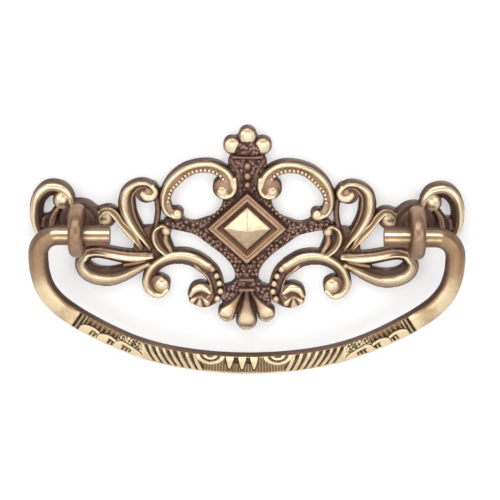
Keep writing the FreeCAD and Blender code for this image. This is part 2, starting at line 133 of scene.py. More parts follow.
class ShaderBook:
    """Builds the nodes of one material or world."""

    def __init__(self, owner: Union[bpy.types.Material, bpy.types.World]) -> None:
        """Empties the node tree of a new material or world.

        Args:
            owner: the material or world.
        """
        self.owner = owner
        owner.use_nodes = True
        self.tree = owner.node_tree
        self.tree.nodes.clear()

    def node(
        self,
        kind: str,
        settings: Optional[dict[str, Any]] = None,
        inputs: Optional[dict[Union[str, int], Any]] = None,
    ) -> bpy.types.Node:
        """Adds one node.

        Args:
            kind: the node's type.
            settings: its settings; "stops" holds a ramp's places and colours.
            inputs: values or links of its sockets.

        Returns:
            The new node.
        """
        made = self.tree.nodes.new(kind)
        for name, value in (settings or {}).items():
            if name == "stops":
                self._fill_ramp(made.color_ramp, value)
            else:
                setattr(made, name, value)
        for key, value in (inputs or {}).items():
            if isinstance(value, Value):
                self.tree.links.new(value.socket, made.inputs[key])
            else:
                made.inputs[key].default_value = value
        return made

    @staticmethod
    def _fill_ramp(ramp: bpy.types.ColorRamp, stops: Sequence[tuple[float, Colour]]) -> None:
        """Sets a ramp's stops.

        Args:
            ramp: the ramp, with its two first stops.
            stops: places and colours.
        """
        while len(ramp.elements) < len(stops):
            ramp.elements.new(1.0)
        for element, (place, colour) in zip(ramp.elements, stops):
            element.position = place
            element.color = (*colour, 1.0)

    def maths(self, operation: str, first: Term, second: Term = 0.0) -> Value:
        """One Math node as a value."""
        made = self.node("ShaderNodeMath", {"operation": operation}, {0: first, 1: second})
        return Value(self, made.outputs[0])

    def attribute(self, name: str) -> Value:
        """A number stored on the mesh."""
        made = self.node("ShaderNodeAttribute", {"attribute_name": name})
        return Value(self, made.outputs["Fac"])

    def place(self) -> Value:
        """Object coordinates."""
        return Value(self, self.node("ShaderNodeTexCoord").outputs["Object"])

    def noise(self, place: Value, scale: float, detail: float = 3.0, rough: float = 0.55) -> Value:
        """Smooth noise between 0 and 1.

        Args:
            place: where the noise is read.
            scale: bumps in a metre.
            detail: octaves.
            rough: share of the fine octaves.

        Returns:
            The noise value.
        """
        inputs = {"Vector": place, "Scale": scale, "Detail": detail, "Roughness": rough}
        return Value(self, self.node("ShaderNodeTexNoise", inputs=inputs).outputs[0])

    def cells(self, place: Value, scale: float) -> Value:
        """Distance to the nearest of scattered points."""
        inputs = {"Vector": place, "Scale": scale}
        return Value(self, self.node("ShaderNodeTexVoronoi", inputs=inputs).outputs["Distance"])

    def blend(self, factor: Term, first: Any, second: Any, mode: str = "MIX") -> Value:
        """Two colours mixed by a factor.

        Args:
            factor: 0 gives the first, 1 the second.
            first: colour or value.
            second: colour or value.
            mode: how they are mixed.

        Returns:
            The colour.
        """
        settings = {"data_type": "RGBA", "blend_type": mode}
        inputs = {0: factor, 6: self._colour(first), 7: self._colour(second)}
        return Value(self, self.node("ShaderNodeMix", settings, inputs).outputs[2])

    @staticmethod
    def _colour(term: Any) -> Any:
        """A colour with its alpha, or the value as it is."""
        return term if isinstance(term, Value) else (*term, 1.0)

    def bumped(self, height: Value, distance: float, strength: float = 1.0) -> Value:
        """Normal of a bump.

        Args:
            height: from 0 to 1.
            distance: height of the bump in metres.
            strength: share of the bump that shows.

        Returns:
            The normal.
        """
        inputs = {"Height": height, "Distance": distance, "Strength": strength}
        return Value(self, self.node("ShaderNodeBump", inputs=inputs).outputs[0])

    def mixed(self, factor: Value, first: bpy.types.Node, second: bpy.types.Node) -> bpy.types.Node:
        """Two shaders mixed by a factor.

        Args:
            factor: 0 gives the first, 1 the second.
            first: a shader's node.
            second: a shader's node.

        Returns:
            The Mix Shader node.
        """
        inputs = {0: factor, 1: Value(self, first.outputs[0]), 2: Value(self, second.outputs[0])}
        return self.node("ShaderNodeMixShader", inputs=inputs)

    def finish(self, shader: bpy.types.Node, output: str = "ShaderNodeOutputMaterial") -> Any:
        """Ties a shader to the output node.

        Args:
            shader: the shader's node.
            output: the kind of output node.

        Returns:
            The material or world.
        """
        self.node(output, inputs={"Surface": Value(self, shader.outputs[0])})
        return self.owner


@dataclass(frozen=True)
class AgedBrass:
    """Cast brass, blackened and then buffed on its high places.

    The mesh holds three numbers at each point: buff, 1 where the metal was
    buffed, which on the bail also carries painted highlights and painted shade;
    the hollow number, 1 in a cut, and painted shade over the back half of each
    bead; pebble, 1 on the matted ground.
    The scales give the bumps in a metre, and the heights are in metres.
    """

    name: str
    light: Colour = (0.755, 0.62, 0.42)
    body: Colour = (0.41, 0.27, 0.17)
    brown: Colour = (0.20, 0.11, 0.086)
    dark: Colour = (0.062, 0.034, 0.028)
    side: Colour = (0.15, 0.105, 0.088)
    plum: Colour = (0.40, 0.25, 0.205)
    smooth: float = 0.29
    dull: float = 0.52
    hollow_dull: float = 0.15
    stain_cover: float = 0.12
    cloud_scale: float = 180.0
    mottle_scale: float = 900.0
    speck_scale: float = 3600.0
    matting_scale: float = 1300.0
    cloud_share: float = 0.45
    mottle_share: float = 0.3
    grain: float = 0.00003
    pebble: float = 0.00016

    def material(self) -> bpy.types.Material:
        """Builds the finish and returns its material."""
        book = ShaderBook(bpy.data.materials.new(self.name))
        place = book.place()
        buff = book.attribute("buff")
        hollow = book.attribute("hollow")
        matted = book.attribute("pebble")
        cloud = book.noise(place, self.cloud_scale, 4.0)
        mottle = book.noise(place, self.mottle_scale, 3.0)
        speck = book.noise(place, self.speck_scale, 2.0)
        matting = 1.0 - book.cells(place, self.matting_scale) * 1.25
        lit = (buff + (cloud - 0.5) * self.cloud_share + (mottle - 0.5) * self.mottle_share).clamped()
        stain = self._stain(hollow, mottle, speck)
        height = mottle * 0.5 + speck * 0.3 + matting * matted * (self.pebble / self.grain)
        rough = self.smooth + (self.dull - self.smooth) * (1.0 - lit) + hollow * self.hollow_dull
        tone = self._buffed(book, buff, lit, matted)
        tone = self._rubbed(book, buff, matted, matting, tone)
        shader = book.node(
            "ShaderNodeBsdfPrincipled",
            inputs={
                "Base Color": book.blend(stain, tone, self.dark),
                "Metallic": 1.0 - stain * self.stain_cover,
                "Roughness": rough.clamped(),
                "Normal": book.bumped(height, self.grain),
            },
        )
        return book.finish(shader)

    @staticmethod
    def _stain(hollow: Value, mottle: Value, speck: Value) -> Value:
        """Blackening that is left in the hollows and in scattered spots, and painted shade on the back half of each
        bead.
        """
        return (hollow * 0.95 + (speck - 0.5) * 0.3 * hollow + (mottle - 0.62) * 0.6).clamped()

    def _buffed(self, book: ShaderBook, buff: Value, lit: Value, matted: Value) -> Value:
        """Colour of the metal from brown over the body to the bright places.

        Args:
            book: the material's builder.
            buff: how buffed the mesh is.
            lit: the same, clouded and mottled.
            matted: 1 on the matted ground.

        Returns:
            The colour, with the unbuffed sides of the casting darker.
        """
        tone = book.blend(lit.between(0.05, 0.55), self.brown, self.body)
        tone = book.blend(lit.between(0.5, 1.0), tone, self.light)
        return book.blend((1.0 - buff * 6.0).clamped() * (1.0 - matted), tone, self.side)

    def _rubbed(self, book: ShaderBook, buff: Value, matted: Value, matting: Value, tone: Value) -> Value:
        """Colour of the matted ground, whose pebbles are rubbed a little brighter.

        Args:
            book: the material's builder.
            buff: how buffed the mesh is.
            matted: 1 on the matted ground.
            matting: height of the pebbles.
            tone: colour of the metal beside it.

        Returns:
            The colour of both.
        """
        rubbed = book.blend((matting * matted).between(0.15, 0.8), self.dark, self.plum)
        return book.blend((matted - buff * 1.6 + 0.3).clamped() * matted, tone, rubbed)


class Profile(Enum):
    """Cross sections of the plate's bands.

    Each value holds pairs of a place, from -1 at the right edge of the band to
    1 at its left edge, and a height as a share of the band's rise.
    """

    ROUND = ((-1.0, 0.0), (-0.6, 0.75), (0.0, 1.0), (0.6, 0.75), (1.0, 0.0))
    TUBE = ((-1.0, 0.1), (-0.8, 0.7), (-0.35, 1.0), (0.05, 0.8), (0.4, 0.2), (0.7, -0.15), (1.0, -0.3))
    TWIN = (
        (-1.0, -0.3), (-0.82, 0.1), (-0.6, 0.42), (-0.36, 0.1), (0.0, 0.65), (0.38, 1.0), (0.75, 0.75), (1.0, 0.0),
    )
    TAIL = ((-1.0, 0.0), (-0.7, 0.6), (-0.35, 0.45), (0.0, 0.3), (0.4, 0.9), (0.7, 0.9), (1.0, 0.1))
    HOOK = ((-1.0, -0.2), (-0.6, 0.2), (-0.2, 0.5), (0.25, 1.0), (0.65, 0.85), (1.0, 0.1))
    BEADED = (
        (-1.0, 0.05), (-0.8, 0.65), (-0.45, 1.0), (-0.15, 0.8), (0.1, 0.45), (0.5, 0.4), (0.85, 0.4), (1.0, 0.3),
    )
    SCOOP = ((-1.0, 0.0), (-0.8, 0.65), (-0.45, 1.0), (-0.1, 0.8), (0.3, 0.25), (0.65, 0.0), (1.0, -0.3))
    LOOP_TOP = (
        (-1.0, 0.0), (-0.75, 0.45), (-0.5, 0.3), (-0.15, 0.75), (0.15, 1.0), (0.45, 0.65), (0.7, 0.0), (1.0, -0.3),
    )
    LOOP_LOW = ((-1.0, -0.4), (-0.6, -0.1), (-0.25, 0.6), (0.05, 1.0), (0.35, 0.7), (0.65, 0.5), (1.0, 0.0))
    CHAIN = ((-1.0, 0.5), (-0.85, 0.6), (-0.65, 0.0), (0.45, 0.0), (0.68, 0.9), (0.85, 0.8), (1.0, 0.0))

    def height(self, across: Grid, reach: Grid) -> Grid:
        """Height over a band.

        Args:
            across: place between the edges.
            reach: distance from the middle line, 1 at the edge.

        Returns:
            Shares of the rise.
        """
        line = smooth_path(self.value, SECTION_STEP)
        share = np.interp(across, line[:, 0], line[:, 1])
        past = np.clip(reach**2 - across**2, 0.0, 1.0)
        return share * np.sqrt(1.0 - past)


@dataclass(frozen=True)
class Band:
    """A stroke of the plate: x, z and half width of its points, and how it rises.

    The fade gives the share of the buffing at its start and at its end.
    """

    name: str
    points: tuple[Point3, ...]
    profile: Profile = Profile.ROUND
    top: float = CREST_H
    rise: float = 0.9
    buff: float = 1.0
    fade: Point2 = (1.0, 1.0)


@dataclass(frozen=True)
class Ground:
    """A flat part of the plate with a smooth outline."""

    name: str
    points: tuple[Point2, ...]
    top: float
    matted: float = 0.0
    mirrored: bool = False


@dataclass(frozen=True)
class Knob:
    """A round boss or, if flat, a pad: its middle, radius, top, rise and buffing."""

    x: float
    z: float
    radius: float
    top: float
    rise: float = 1.1
    buff: float = 1.0
    flat: bool = False


def smooth_path(points: Sequence[Sequence[float]], spacing: float, closed: bool = False) -> Grid:
    """Samples a smooth curve through points.

    Args:
        points: rows of numbers; the first two are the place in mm.
        spacing: distance between samples in mm.
        closed: whether the curve comes back to its start.

    Returns:
        Rows with as many numbers as the points.
    """
    rows = np.array(points, float)
    if closed:
        rows = np.vstack([rows[-1:], rows, rows[:2]])
    else:
        rows = np.vstack([2 * rows[0] - rows[1], rows, 2 * rows[-1] - rows[-2]])
    found = []
    for a, b, c, d in zip(rows, rows[1:], rows[2:], rows[3:]):
        length = math.hypot(*(c - b)[:2])
        count = max(2, int(length / spacing))
        t = np.linspace(0.0, 1.0, count, endpoint=False)[:, None]
        square = a - 2.5 * b + 2 * c - 0.5 * d
        cube = 1.5 * b - 1.5 * c + 0.5 * d - 0.5 * a
        found.append(b + 0.5 * t * (c - a) + t**2 * square + t**3 * cube)
    if not closed:
        found.append(rows[-2:-1])
    return np.vstack(found)


def directions(path: Grid) -> Grid:
    """Unit directions along a path, from the first two numbers of its rows."""
    run = np.gradient(path[:, :2], axis=0)
    return run / np.linalg.norm(run, axis=1)[:, None]


def rising(place: Grid, start: Union[float, Grid], width: float) -> Grid:
    """0 up to a start, and from there up to 1 over a width."""
    return np.clip((place - start) / width, 0.0, 1.0)


def falling(place: Grid, end: Union[float, Grid], width: float) -> Grid:
    """1 up to a width before an end, and from there down to 0."""
    return np.clip((end - place) / width, 0.0, 1.0)


def within(place: Grid, low: Union[float, Grid], high: Union[float, Grid], soft: float = 0.2) -> Grid:
    """1 between two places, with soft ends."""
    return rising(place, low, soft) * falling(place, high, soft)


def bell(place: Grid, middle: float, width: float) -> Grid:
    """1 in the middle of a bell curve, falling off to both sides."""
    return np.exp(-(((place - middle) / width) ** 2))


def blurred(levels: Grid, steps: float) -> Grid:
    """Smooths a field by a bell curve.

    Args:
        levels: the field.
        steps: how wide the curve is, in steps of the grid.

    Returns:
        The smoothed field.
    """
    reach = int(steps * 3) + 1
    curve = np.exp(-0.5 * (np.arange(-reach, reach + 1) / steps) ** 2)
    curve /= curve.sum()

    def smooth(line: Grid) -> Grid:
        """One row or column, smoothed."""
        return np.convolve(np.pad(line, reach, "edge"), curve, "valid")

    return np.apply_along_axis(smooth, 1, np.apply_along_axis(smooth, 0, levels))


def piece_of(name: str, data: bpy.types.ID) -> bpy.types.Object:
    """A new object with a mesh or a lamp, linked to the scene."""
    piece = bpy.data.objects.new(name, data)
    bpy.context.scene.collection.objects.link(piece)
    return piece


def join_meshes(name: str, meshes: Iterable[bpy.types.Mesh]) -> bpy.types.Object:
    """Joins meshes with their attributes into one object.

    Args:
        name: the object's name.
        meshes: the meshes, which are removed.

    Returns:
        The new object, linked to the scene.
    """
    whole = bmesh.new()
    finish = []
    for mesh in meshes:
        finish = finish or list(mesh.materials)
        whole.from_mesh(mesh)
        bpy.data.meshes.remove(mesh)
    mesh = bpy.data.meshes.new(name)
    whole.to_mesh(mesh)
    whole.free()
    for slot in finish:
        mesh.materials.append(slot)
    return piece_of(name, mesh)


def stamp(mesh: bpy.types.Mesh, **numbers: Union[float, Grid]) -> None:
    """Writes named numbers to a mesh's points.

    Args:
        mesh: the mesh.
        numbers: for each name one value for all points, or one for each.
    """
    for name, values in numbers.items():
        layer = mesh.attributes.new(name, "FLOAT", "POINT")
        full = np.broadcast_to(np.asarray(values, np.float32), (len(mesh.vertices),))
        layer.data.foreach_set("value", np.ascontiguousarray(full))


def mesh_of(name: str, spots: Grid, faces: list[Sequence[int]], crease: float = 40.0) -> bpy.types.Mesh:
    """Mesh from places in mm, shaded smooth up to a crease angle.

    Args:
        name: the mesh's name.
        spots: rows of x, y, z in mm.
        faces: corner numbers of each face.
        crease: angle in degrees past which an edge is sharp.

    Returns:
        The mesh, with its faces outwards.
    """
    mesh = bpy.data.meshes.new(name)
    mesh.from_pydata((spots * MM).tolist(), [], faces)
    work = bmesh.new()
    work.from_mesh(mesh)
    bmesh.ops.recalc_face_normals(work, faces=work.faces)
    work.to_mesh(mesh)
    work.free()
    mesh.shade_smooth()
    mesh.set_sharp_from_angle(angle=math.radians(crease))
    return mesh


def strip_faces(rows: int, columns: int, closed: bool = False) -> list[list[int]]:
    """Faces between rows of points, each of which closes into a ring.

    Args:
        rows: how many rings.
        columns: points of a ring.
        closed: whether the last ring joins the first.

    Returns:
        Corner numbers of each face.
    """
    faces = []
    for i in range(rows if closed else rows - 1):
        low, high = i * columns, (i + 1) % rows * columns
        for j in range(columns):
            after = (j + 1) % columns
            faces.append([low + j, high + j, high + after, low + after])
    return faces


@dataclass
class Relief:
    """Height field of one half of the plate, mirrored into a closed casting.

    The edge holds how far each place lies inside the outline. Finishes are
    triples of buff, hollow and pebble.
    """

    step: float = 0.17
    width: float = 50.2
    low: float = -27.6
    high: float = 22.6
    back: float = 0.0
    floor: float = 1.2
    outside: float = -9.0
    fall: float = 0.22
    deepest: float = 4.0
    edge_round: float = 0.22
    rim_drop: float = 0.35
    rim_finish: Point3 = (0.10, 0.25, 0.0)
    wall_finish: Point3 = (0.0, 0.12, 0.0)
    wall_levels: Point3 = (0.5, 0.06, 0.0)
    back_margin: float = 0.12
    ground_buff: float = 0.12
    hollow_reaches: tuple[Point2, Point2] = ((0.35, 1.2), (0.9, 0.9))
    hollow_gain: float = 1.6
    hollow_start: float = 0.08
    batch: int = 4000
    xs: Grid = field(init=False)
    zs: Grid = field(init=False)
    edge: Grid = field(init=False)
    height: Grid = field(init=False)
    buff: Grid = field(init=False)
    matted: Grid = field(init=False)

    def __post_init__(self) -> None:
        """Lays out the grid."""
        self.xs = np.arange(0.0, self.width, self.step)
        self.zs = np.arange(self.low, self.high, self.step)
        shape = (len(self.xs), len(self.zs))
        self.edge = np.full(shape, self.outside)
        self.height = np.full(shape, self.floor)
        self.buff = np.zeros(shape)
        self.matted = np.zeros(shape)

    def _near(self, places: Grid, margin: float) -> tuple[tuple[slice, slice], Grid, Grid]:
        """Finds the part of the grid within a margin of some places.

        Args:
            places: rows of x and z.
            margin: how far around them the part reaches.

        Returns:
            The part's slices, and x and z of each of its nodes.
        """
        low, high = places.min(axis=0) - margin, places.max(axis=0) + margin
        part = []
        for start, end, line in ((low[0], high[0], self.xs), (low[1], high[1], self.zs)):
            first, last = (start - line[0]) / self.step, (end - line[0]) / self.step + 2
            part.append(slice(*np.clip((first, last), 0, len(line)).astype(int)))
        return (part[0], part[1]), *np.meshgrid(self.xs[part[0]], self.zs[part[1]], indexing="ij")

    def _fallen(self, outward: Grid) -> Grid:
        """How far the field falls outside an outline."""
        return np.clip(outward / self.fall, 0.0, self.deepest)

    def _claim(self, part: tuple[slice, slice], inward: Grid) -> None:
        """Adds a shape to the plate's outline, by how far inside it each node lies."""
        self.edge[part] = np.maximum(self.edge[part], inward)

    def _raise(self, part: tuple[slice, slice], height: Grid, buff: Union[float, Grid], matted: float = 0.0) -> None:
        """Lifts the field to a height where that is higher, and carries the finish.

        Args:
            part: the part of the grid.
            height: the new heights.
            buff: how buffed the new surface is.
            matted: how matted it is.
        """
        over = height > self.height[part]
        self.height[part] = np.where(over, height, self.height[part])
        self.buff[part] = np.where(over, buff, self.buff[part])
        self.matted[part] = np.where(over, matted, self.matted[part])

    def _nearest(self, spots: Grid, path: Grid) -> Grid:
        """Number of the path's sample that is nearest to each spot."""
        found = []
        for start in range(0, len(spots), self.batch):
            chunk = spots[start : start + self.batch, None]
            gap = (chunk[..., 0] - path[:, 0]) ** 2 + (chunk[..., 1] - path[:, 1]) ** 2
            found.append(gap.argmin(axis=1))
        return np.concatenate(found)

    def band(self, band: Band) -> None:
        """Lays a band over the field.

        Args:
            band: the stroke with its section.
        """
        path = smooth_path(band.points, BAND_STEP)
        run = directions(path)
        part, xs, zs = self._near(path[:, :2], path[:, 2].max() + 1.0)
        spots = np.stack([xs.ravel(), zs.ravel()], axis=1)
        nearest = self._nearest(spots, path)
        off = spots - path[nearest, :2]
        half = path[nearest, 2]
        away = np.hypot(off[:, 0], off[:, 1])
        across = (run[nearest, 0] * off[:, 1] - run[nearest, 1] * off[:, 0]) / half
        share = band.profile.height(across, np.minimum(away / half, 1.0))
        height = band.top - band.rise + band.rise * share - self._fallen(away - half)
        start, end = band.fade
        worn = start + (end - start) * nearest / len(path)
        buff = band.buff * worn * np.clip(1.35 * share, 0.08, 1.0)
        self._claim(part, (half - away).reshape(xs.shape))
        self._raise(part, height.reshape(xs.shape), buff.reshape(xs.shape))

    def knob(self, knob: Knob) -> None:
        """Lays a round boss over the field.

        Args:
            knob: the boss.
        """
        part, xs, zs = self._near(np.array([[knob.x, knob.z]]), knob.radius + 1.0)
        away = np.hypot(xs - knob.x, zs - knob.z)
        reach = np.clip(away / knob.radius, 0.0, 1.0)
        dome = np.ones_like(reach) if knob.flat else np.sqrt(1.0 - reach**2)
        height = knob.top - knob.rise * (1.0 - dome) - self._fallen(away - knob.radius)
        self._claim(part, knob.radius - away)
        self._raise(part, height, knob.buff * (0.3 + 0.7 * dome))

    def ground(self, ground: Ground) -> None:
        """Lays a flat ground over the field.

        Args:
            ground: the ground with its outline.
        """
        path = smooth_path(ground.points, OUTLINE_STEP, closed=not ground.mirrored)
        if ground.mirrored:
            path = np.vstack([path, path[::-1] * (-1, 1)])
        part, xs, zs = self._near(path, 1.0)
        inward = self._inward(path, xs, zs)
        self._claim(part, inward)
        self._raise(part, ground.top - self._fallen(-inward), self.ground_buff, ground.matted)

    @staticmethod
    def _inward(path: Grid, xs: Grid, zs: Grid) -> Grid:
        """Measures how far inside an outline places lie.

        Args:
            path: the closed outline.
            xs: x of the places.
            zs: z of the places.

        Returns:
            Distances, negative outside.
        """
        away = np.full(xs.shape, np.inf)
        inside = np.zeros(xs.shape, bool)
        for (x1, z1), (x2, z2) in zip(path, np.roll(path, -1, axis=0)):
            dx, dz = x2 - x1, z2 - z1
            size = dx * dx + dz * dz
            if size < 1e-12:
                continue
            share = np.clip(((xs - x1) * dx + (zs - z1) * dz) / size, 0.0, 1.0)
            away = np.minimum(away, (xs - x1 - dx * share) ** 2 + (zs - z1 - dz * share) ** 2)
            if z1 != z2:
                crossed = (z1 > zs) != (z2 > zs)
                inside ^= crossed & (xs < dx * (zs - z1) / dz + x1)
        return np.where(inside, 1.0, -1.0) * np.sqrt(away)

    def pyramid(self, x: float, z: float, wide: float, tall: float, steps: Sequence[Point3]) -> None:
        """Lays a stepped diamond over the field.

        Args:
            x: its middle.
            z: its middle.
            wide: half width.
            tall: half height.
            steps: distance in from the edge, height and how buffed, from the edge to the peak.
        """
        part, xs, zs = self._near(np.array([[x - wide, z - tall], [x + wide, z + tall]]), 0.6)
        slope = math.hypot(1.0 / wide, 1.0 / tall)
        depth = (1.0 - np.abs(xs - x) / wide - np.abs(zs - z) / tall) / slope
        places, heights, buffs = zip(*steps)
        height = np.interp(depth, places, heights) - self._fallen(-depth)
        self._raise(part, height, np.interp(depth, places, buffs))

    def cut(self, x: float, z: float, radius: float) -> None:
        """Bores a round hole."""
        away = np.hypot(self.xs[:, None] - x, self.zs[None, :] - z)
        self.edge = np.minimum(self.edge, away - radius)

    def hollows(self) -> Grid:
        """How much each place lies below its surroundings, from 0 to 1."""
        kept = (self.edge > 0).astype(float)
        deep = np.zeros_like(self.height)
        for reach, weight in self.hollow_reaches:
            steps = reach / self.step
            around = blurred(self.height * kept, steps) / np.maximum(blurred(kept, steps), 0.05)
            deep += weight * np.maximum(around - self.height, 0.0)
        return np.clip(deep * self.hollow_gain - self.hollow_start, 0.0, 1.0)

    def mesh(self, name: str) -> bpy.types.Mesh:
        """Closed mesh of the whole plate.

        Args:
            name: the mesh's name.

        Returns:
            The mesh, with its buff, hollow and pebble numbers.
        """
        fields = [self.edge, self.height, self.buff, self.hollows(), self.matted]
        edge, height, buff, hollow, matted = (np.vstack([f[:0:-1], f]) for f in fields)
        xs = np.concatenate([-self.xs[:0:-1], self.xs])
        soft = np.clip(1.0 - edge / self.edge_round, 0.0, 1.0)
        height = height - self.edge_round * (1.0 - np.sqrt(1.0 - np.minimum(soft, 0.999) ** 2))
        inside = edge > 0.0
        number = np.cumsum(inside.ravel()).reshape(inside.shape) - 1
        corners_in = [inside[:-1, :-1], inside[1:, :-1], inside[1:, 1:], inside[:-1, 1:]]
        full = np.logical_and.reduce(corners_in)
        quads = np.stack([number[:-1, :-1], number[1:, :-1], number[1:, 1:], number[:-1, 1:]], axis=-1)[full]
        faces = quads.tolist()
        rim: dict[tuple[int, int, int, int], int] = {}
        extra: list[tuple[float, float, float]] = []
        count = int(inside.sum())

        def crossing(a: tuple[int, int], b: tuple[int, int]) -> int:
            """Point where the outline cuts the grid line between an inner and an outer node."""
            key = (*a, *b)
            if key not in rim:
                share = max(0.04, edge[a] / (edge[a] - edge[b]))
                x = xs[a[0]] + (xs[b[0]] - xs[a[0]]) * share
                z = self.zs[a[1]] + (self.zs[b[1]] - self.zs[a[1]]) * share
                rim[key] = count + len(extra)
                extra.append((x, z, height[a] - self.edge_round * self.rim_drop))
            return rim[key]

        after: dict[int, int] = {}
        for i, j in zip(*np.nonzero(np.logical_or.reduce(corners_in) & ~full)):
            ring = [(i, j), (i + 1, j), (i + 1, j + 1), (i, j + 1)]
            corners: list[tuple[int, bool]] = []
            for here, there in zip(ring, ring[1:] + ring[:1]):
                if inside[here]:
                    corners.append((int(number[here]), False))
                if inside[here] != inside[there]:
                    cut = crossing(here, there) if inside[here] else crossing(there, here)
                    corners.append((cut, True))
            faces.append([corner for corner, _ in corners])
            for (a, cut_a), (b, cut_b) in zip(corners, corners[1:] + corners[:1]):
                if cut_a and cut_b:
                    after[a] = b
        grid_x, grid_z = np.meshgrid(xs, self.zs, indexing="ij")
        nodes = np.stack([grid_x[inside], -height[inside], grid_z[inside]], axis=1)
        outline = np.array([(x, -top, z) for x, z, top in extra])
        finish = np.stack([buff[inside], hollow[inside], matted[inside]], axis=1)
        finish = np.vstack([finish, np.tile(self.rim_finish, (len(extra), 1))])
        return self._closed(name, np.vstack([nodes, outline]), finish, faces, after)

    def _closed(
        self, name: str, front: Grid, finish: Grid, faces: list[list[int]], after: dict[int, int]
    ) -> bpy.types.Mesh:
        """Adds the walls and the flat back to the front.

        Args:
            name: the mesh's name.
            front: places of the front's points.
            finish: buff, hollow and pebble of those points.
            faces: the front's faces.
            after: the outline's next point for each of its points.

        Returns:
            The mesh.
        """
        order = sorted(set(after) | set(after.values()))
        index = {corner: n for n, corner in enumerate(order)}
        rim = front[order]
        size = len(order)
        rows = [order]
        levels = []
        for share in self.wall_levels:
            level = rim.copy()
            level[:, 1] = self.back - (self.back - rim[:, 1]) * share
            rows.append([len(front) + len(levels) * size + n for n in range(size)])
            levels.append(level)
        for a, b in after.items():
            p, q = index[a], index[b]
            for upper, lower in zip(rows, rows[1:]):
                faces.append([upper[q], upper[p], lower[p], lower[q]])
        coords = [Vector((x, z)) for x, _, z in rim]
        edges = [(index[a], index[b]) for a, b in after.items()]
        spots_2d, _, triangles, from_, _, _ = delaunay_2d_cdt(coords, edges, [], 0, 1e-5)
        source = [min(ids) if ids else 0 for ids in from_]
        for triangle in triangles:
            mid = sum((spots_2d[t] for t in triangle), Vector((0.0, 0.0))) / 3.0
            i = min(int(round(abs(mid.x) / self.step)), len(self.xs) - 1)
            j = min(int(round((mid.y - self.low) / self.step)), len(self.zs) - 1)
            if self.edge[i, j] > -self.back_margin:
                faces.append([rows[-1][source[t]] for t in triangle][::-1])
        mesh = mesh_of(name, np.vstack([front, *levels]), faces, 55.0)
        wall = np.tile(self.wall_finish, (size * len(levels), 1))
        buff, hollow, pebble = np.vstack([finish, wall]).T
        stamp(mesh, buff=buff, hollow=hollow, pebble=pebble)
        return mesh


class GeometryTree:
    """A Geometry Nodes tree with named inputs, built node by node."""

    def __init__(self, name: str, sizes: dict[str, float], material: bpy.types.Material) -> None:
        """Makes the tree with its inputs.

        Args:
            name: the tree's name.
            sizes: names and values of the number inputs.
            material: what Set Material gives the result.
        """
        self.tree = bpy.data.node_groups.new(name, "GeometryNodeTree")
        face = self.tree.interface
        face.new_socket("Geometry", in_out="INPUT", socket_type="NodeSocketGeometry")
        face.new_socket("Geometry", in_out="OUTPUT", socket_type="NodeSocketGeometry")
        self.sizes = sizes
        for size in sizes:
            face.new_socket(size, in_out="INPUT", socket_type="NodeSocketFloat")
        self.material = material
        self.entry = self.tree.nodes.new("NodeGroupInput")

    def node(self, kind: str, settings: Optional[dict[str, Any]] = None, **inputs: Any) -> bpy.types.Node:
        """Adds a node.

        Args:
            kind: the node's type.
            settings: its settings.
            inputs: sockets or values by socket name, with _ for a blank.

        Returns:
            The new node.
        """
        made = self.tree.nodes.new(kind)
        for name, value in (settings or {}).items():
            setattr(made, name, value)
        for name, value in inputs.items():
            socket = made.inputs[name.replace("_", " ")]
            if isinstance(value, bpy.types.NodeSocket):
                self.tree.links.new(value, socket)
            else:
                socket.default_value = value
        return made

    def result(self, geometry: bpy.types.NodeSocket, source: bpy.types.Object) -> bpy.types.Mesh:
        """Ends the tree, runs it on an object and returns a plain mesh.

        Args:
            geometry: the socket with the finished instances.
            source: the object that carries the modifier, which is removed.

        Returns:
            The mesh.
        """
        real = self.node("GeometryNodeRealizeInstances", Geometry=geometry)
        shade = self.node("GeometryNodeSetShadeSmooth", Geometry=real.outputs[0])
        dressed = self.node("GeometryNodeSetMaterial", Geometry=shade.outputs[0], Material=self.material)
        out = self.tree.nodes.new("NodeGroupOutput")
        self.tree.links.new(dressed.outputs[0], out.inputs[0])
        bpy.context.scene.collection.objects.link(source)
        modifier = source.modifiers.new(self.tree.name, "NODES")
        modifier.node_group = self.tree
        for item in self.tree.interface.items_tree:
            if item.item_type == "SOCKET" and item.in_out == "INPUT" and item.name in self.sizes:
                modifier[item.identifier] = self.sizes[item.name]
        graph = bpy.context.evaluated_depsgraph_get()
        mesh = bpy.data.meshes.new_from_object(
            source.evaluated_get(graph), preserve_all_data_layers=True, depsgraph=graph
        )
        source.modifiers.remove(modifier)
        bpy.data.objects.remove(source)
        return mesh


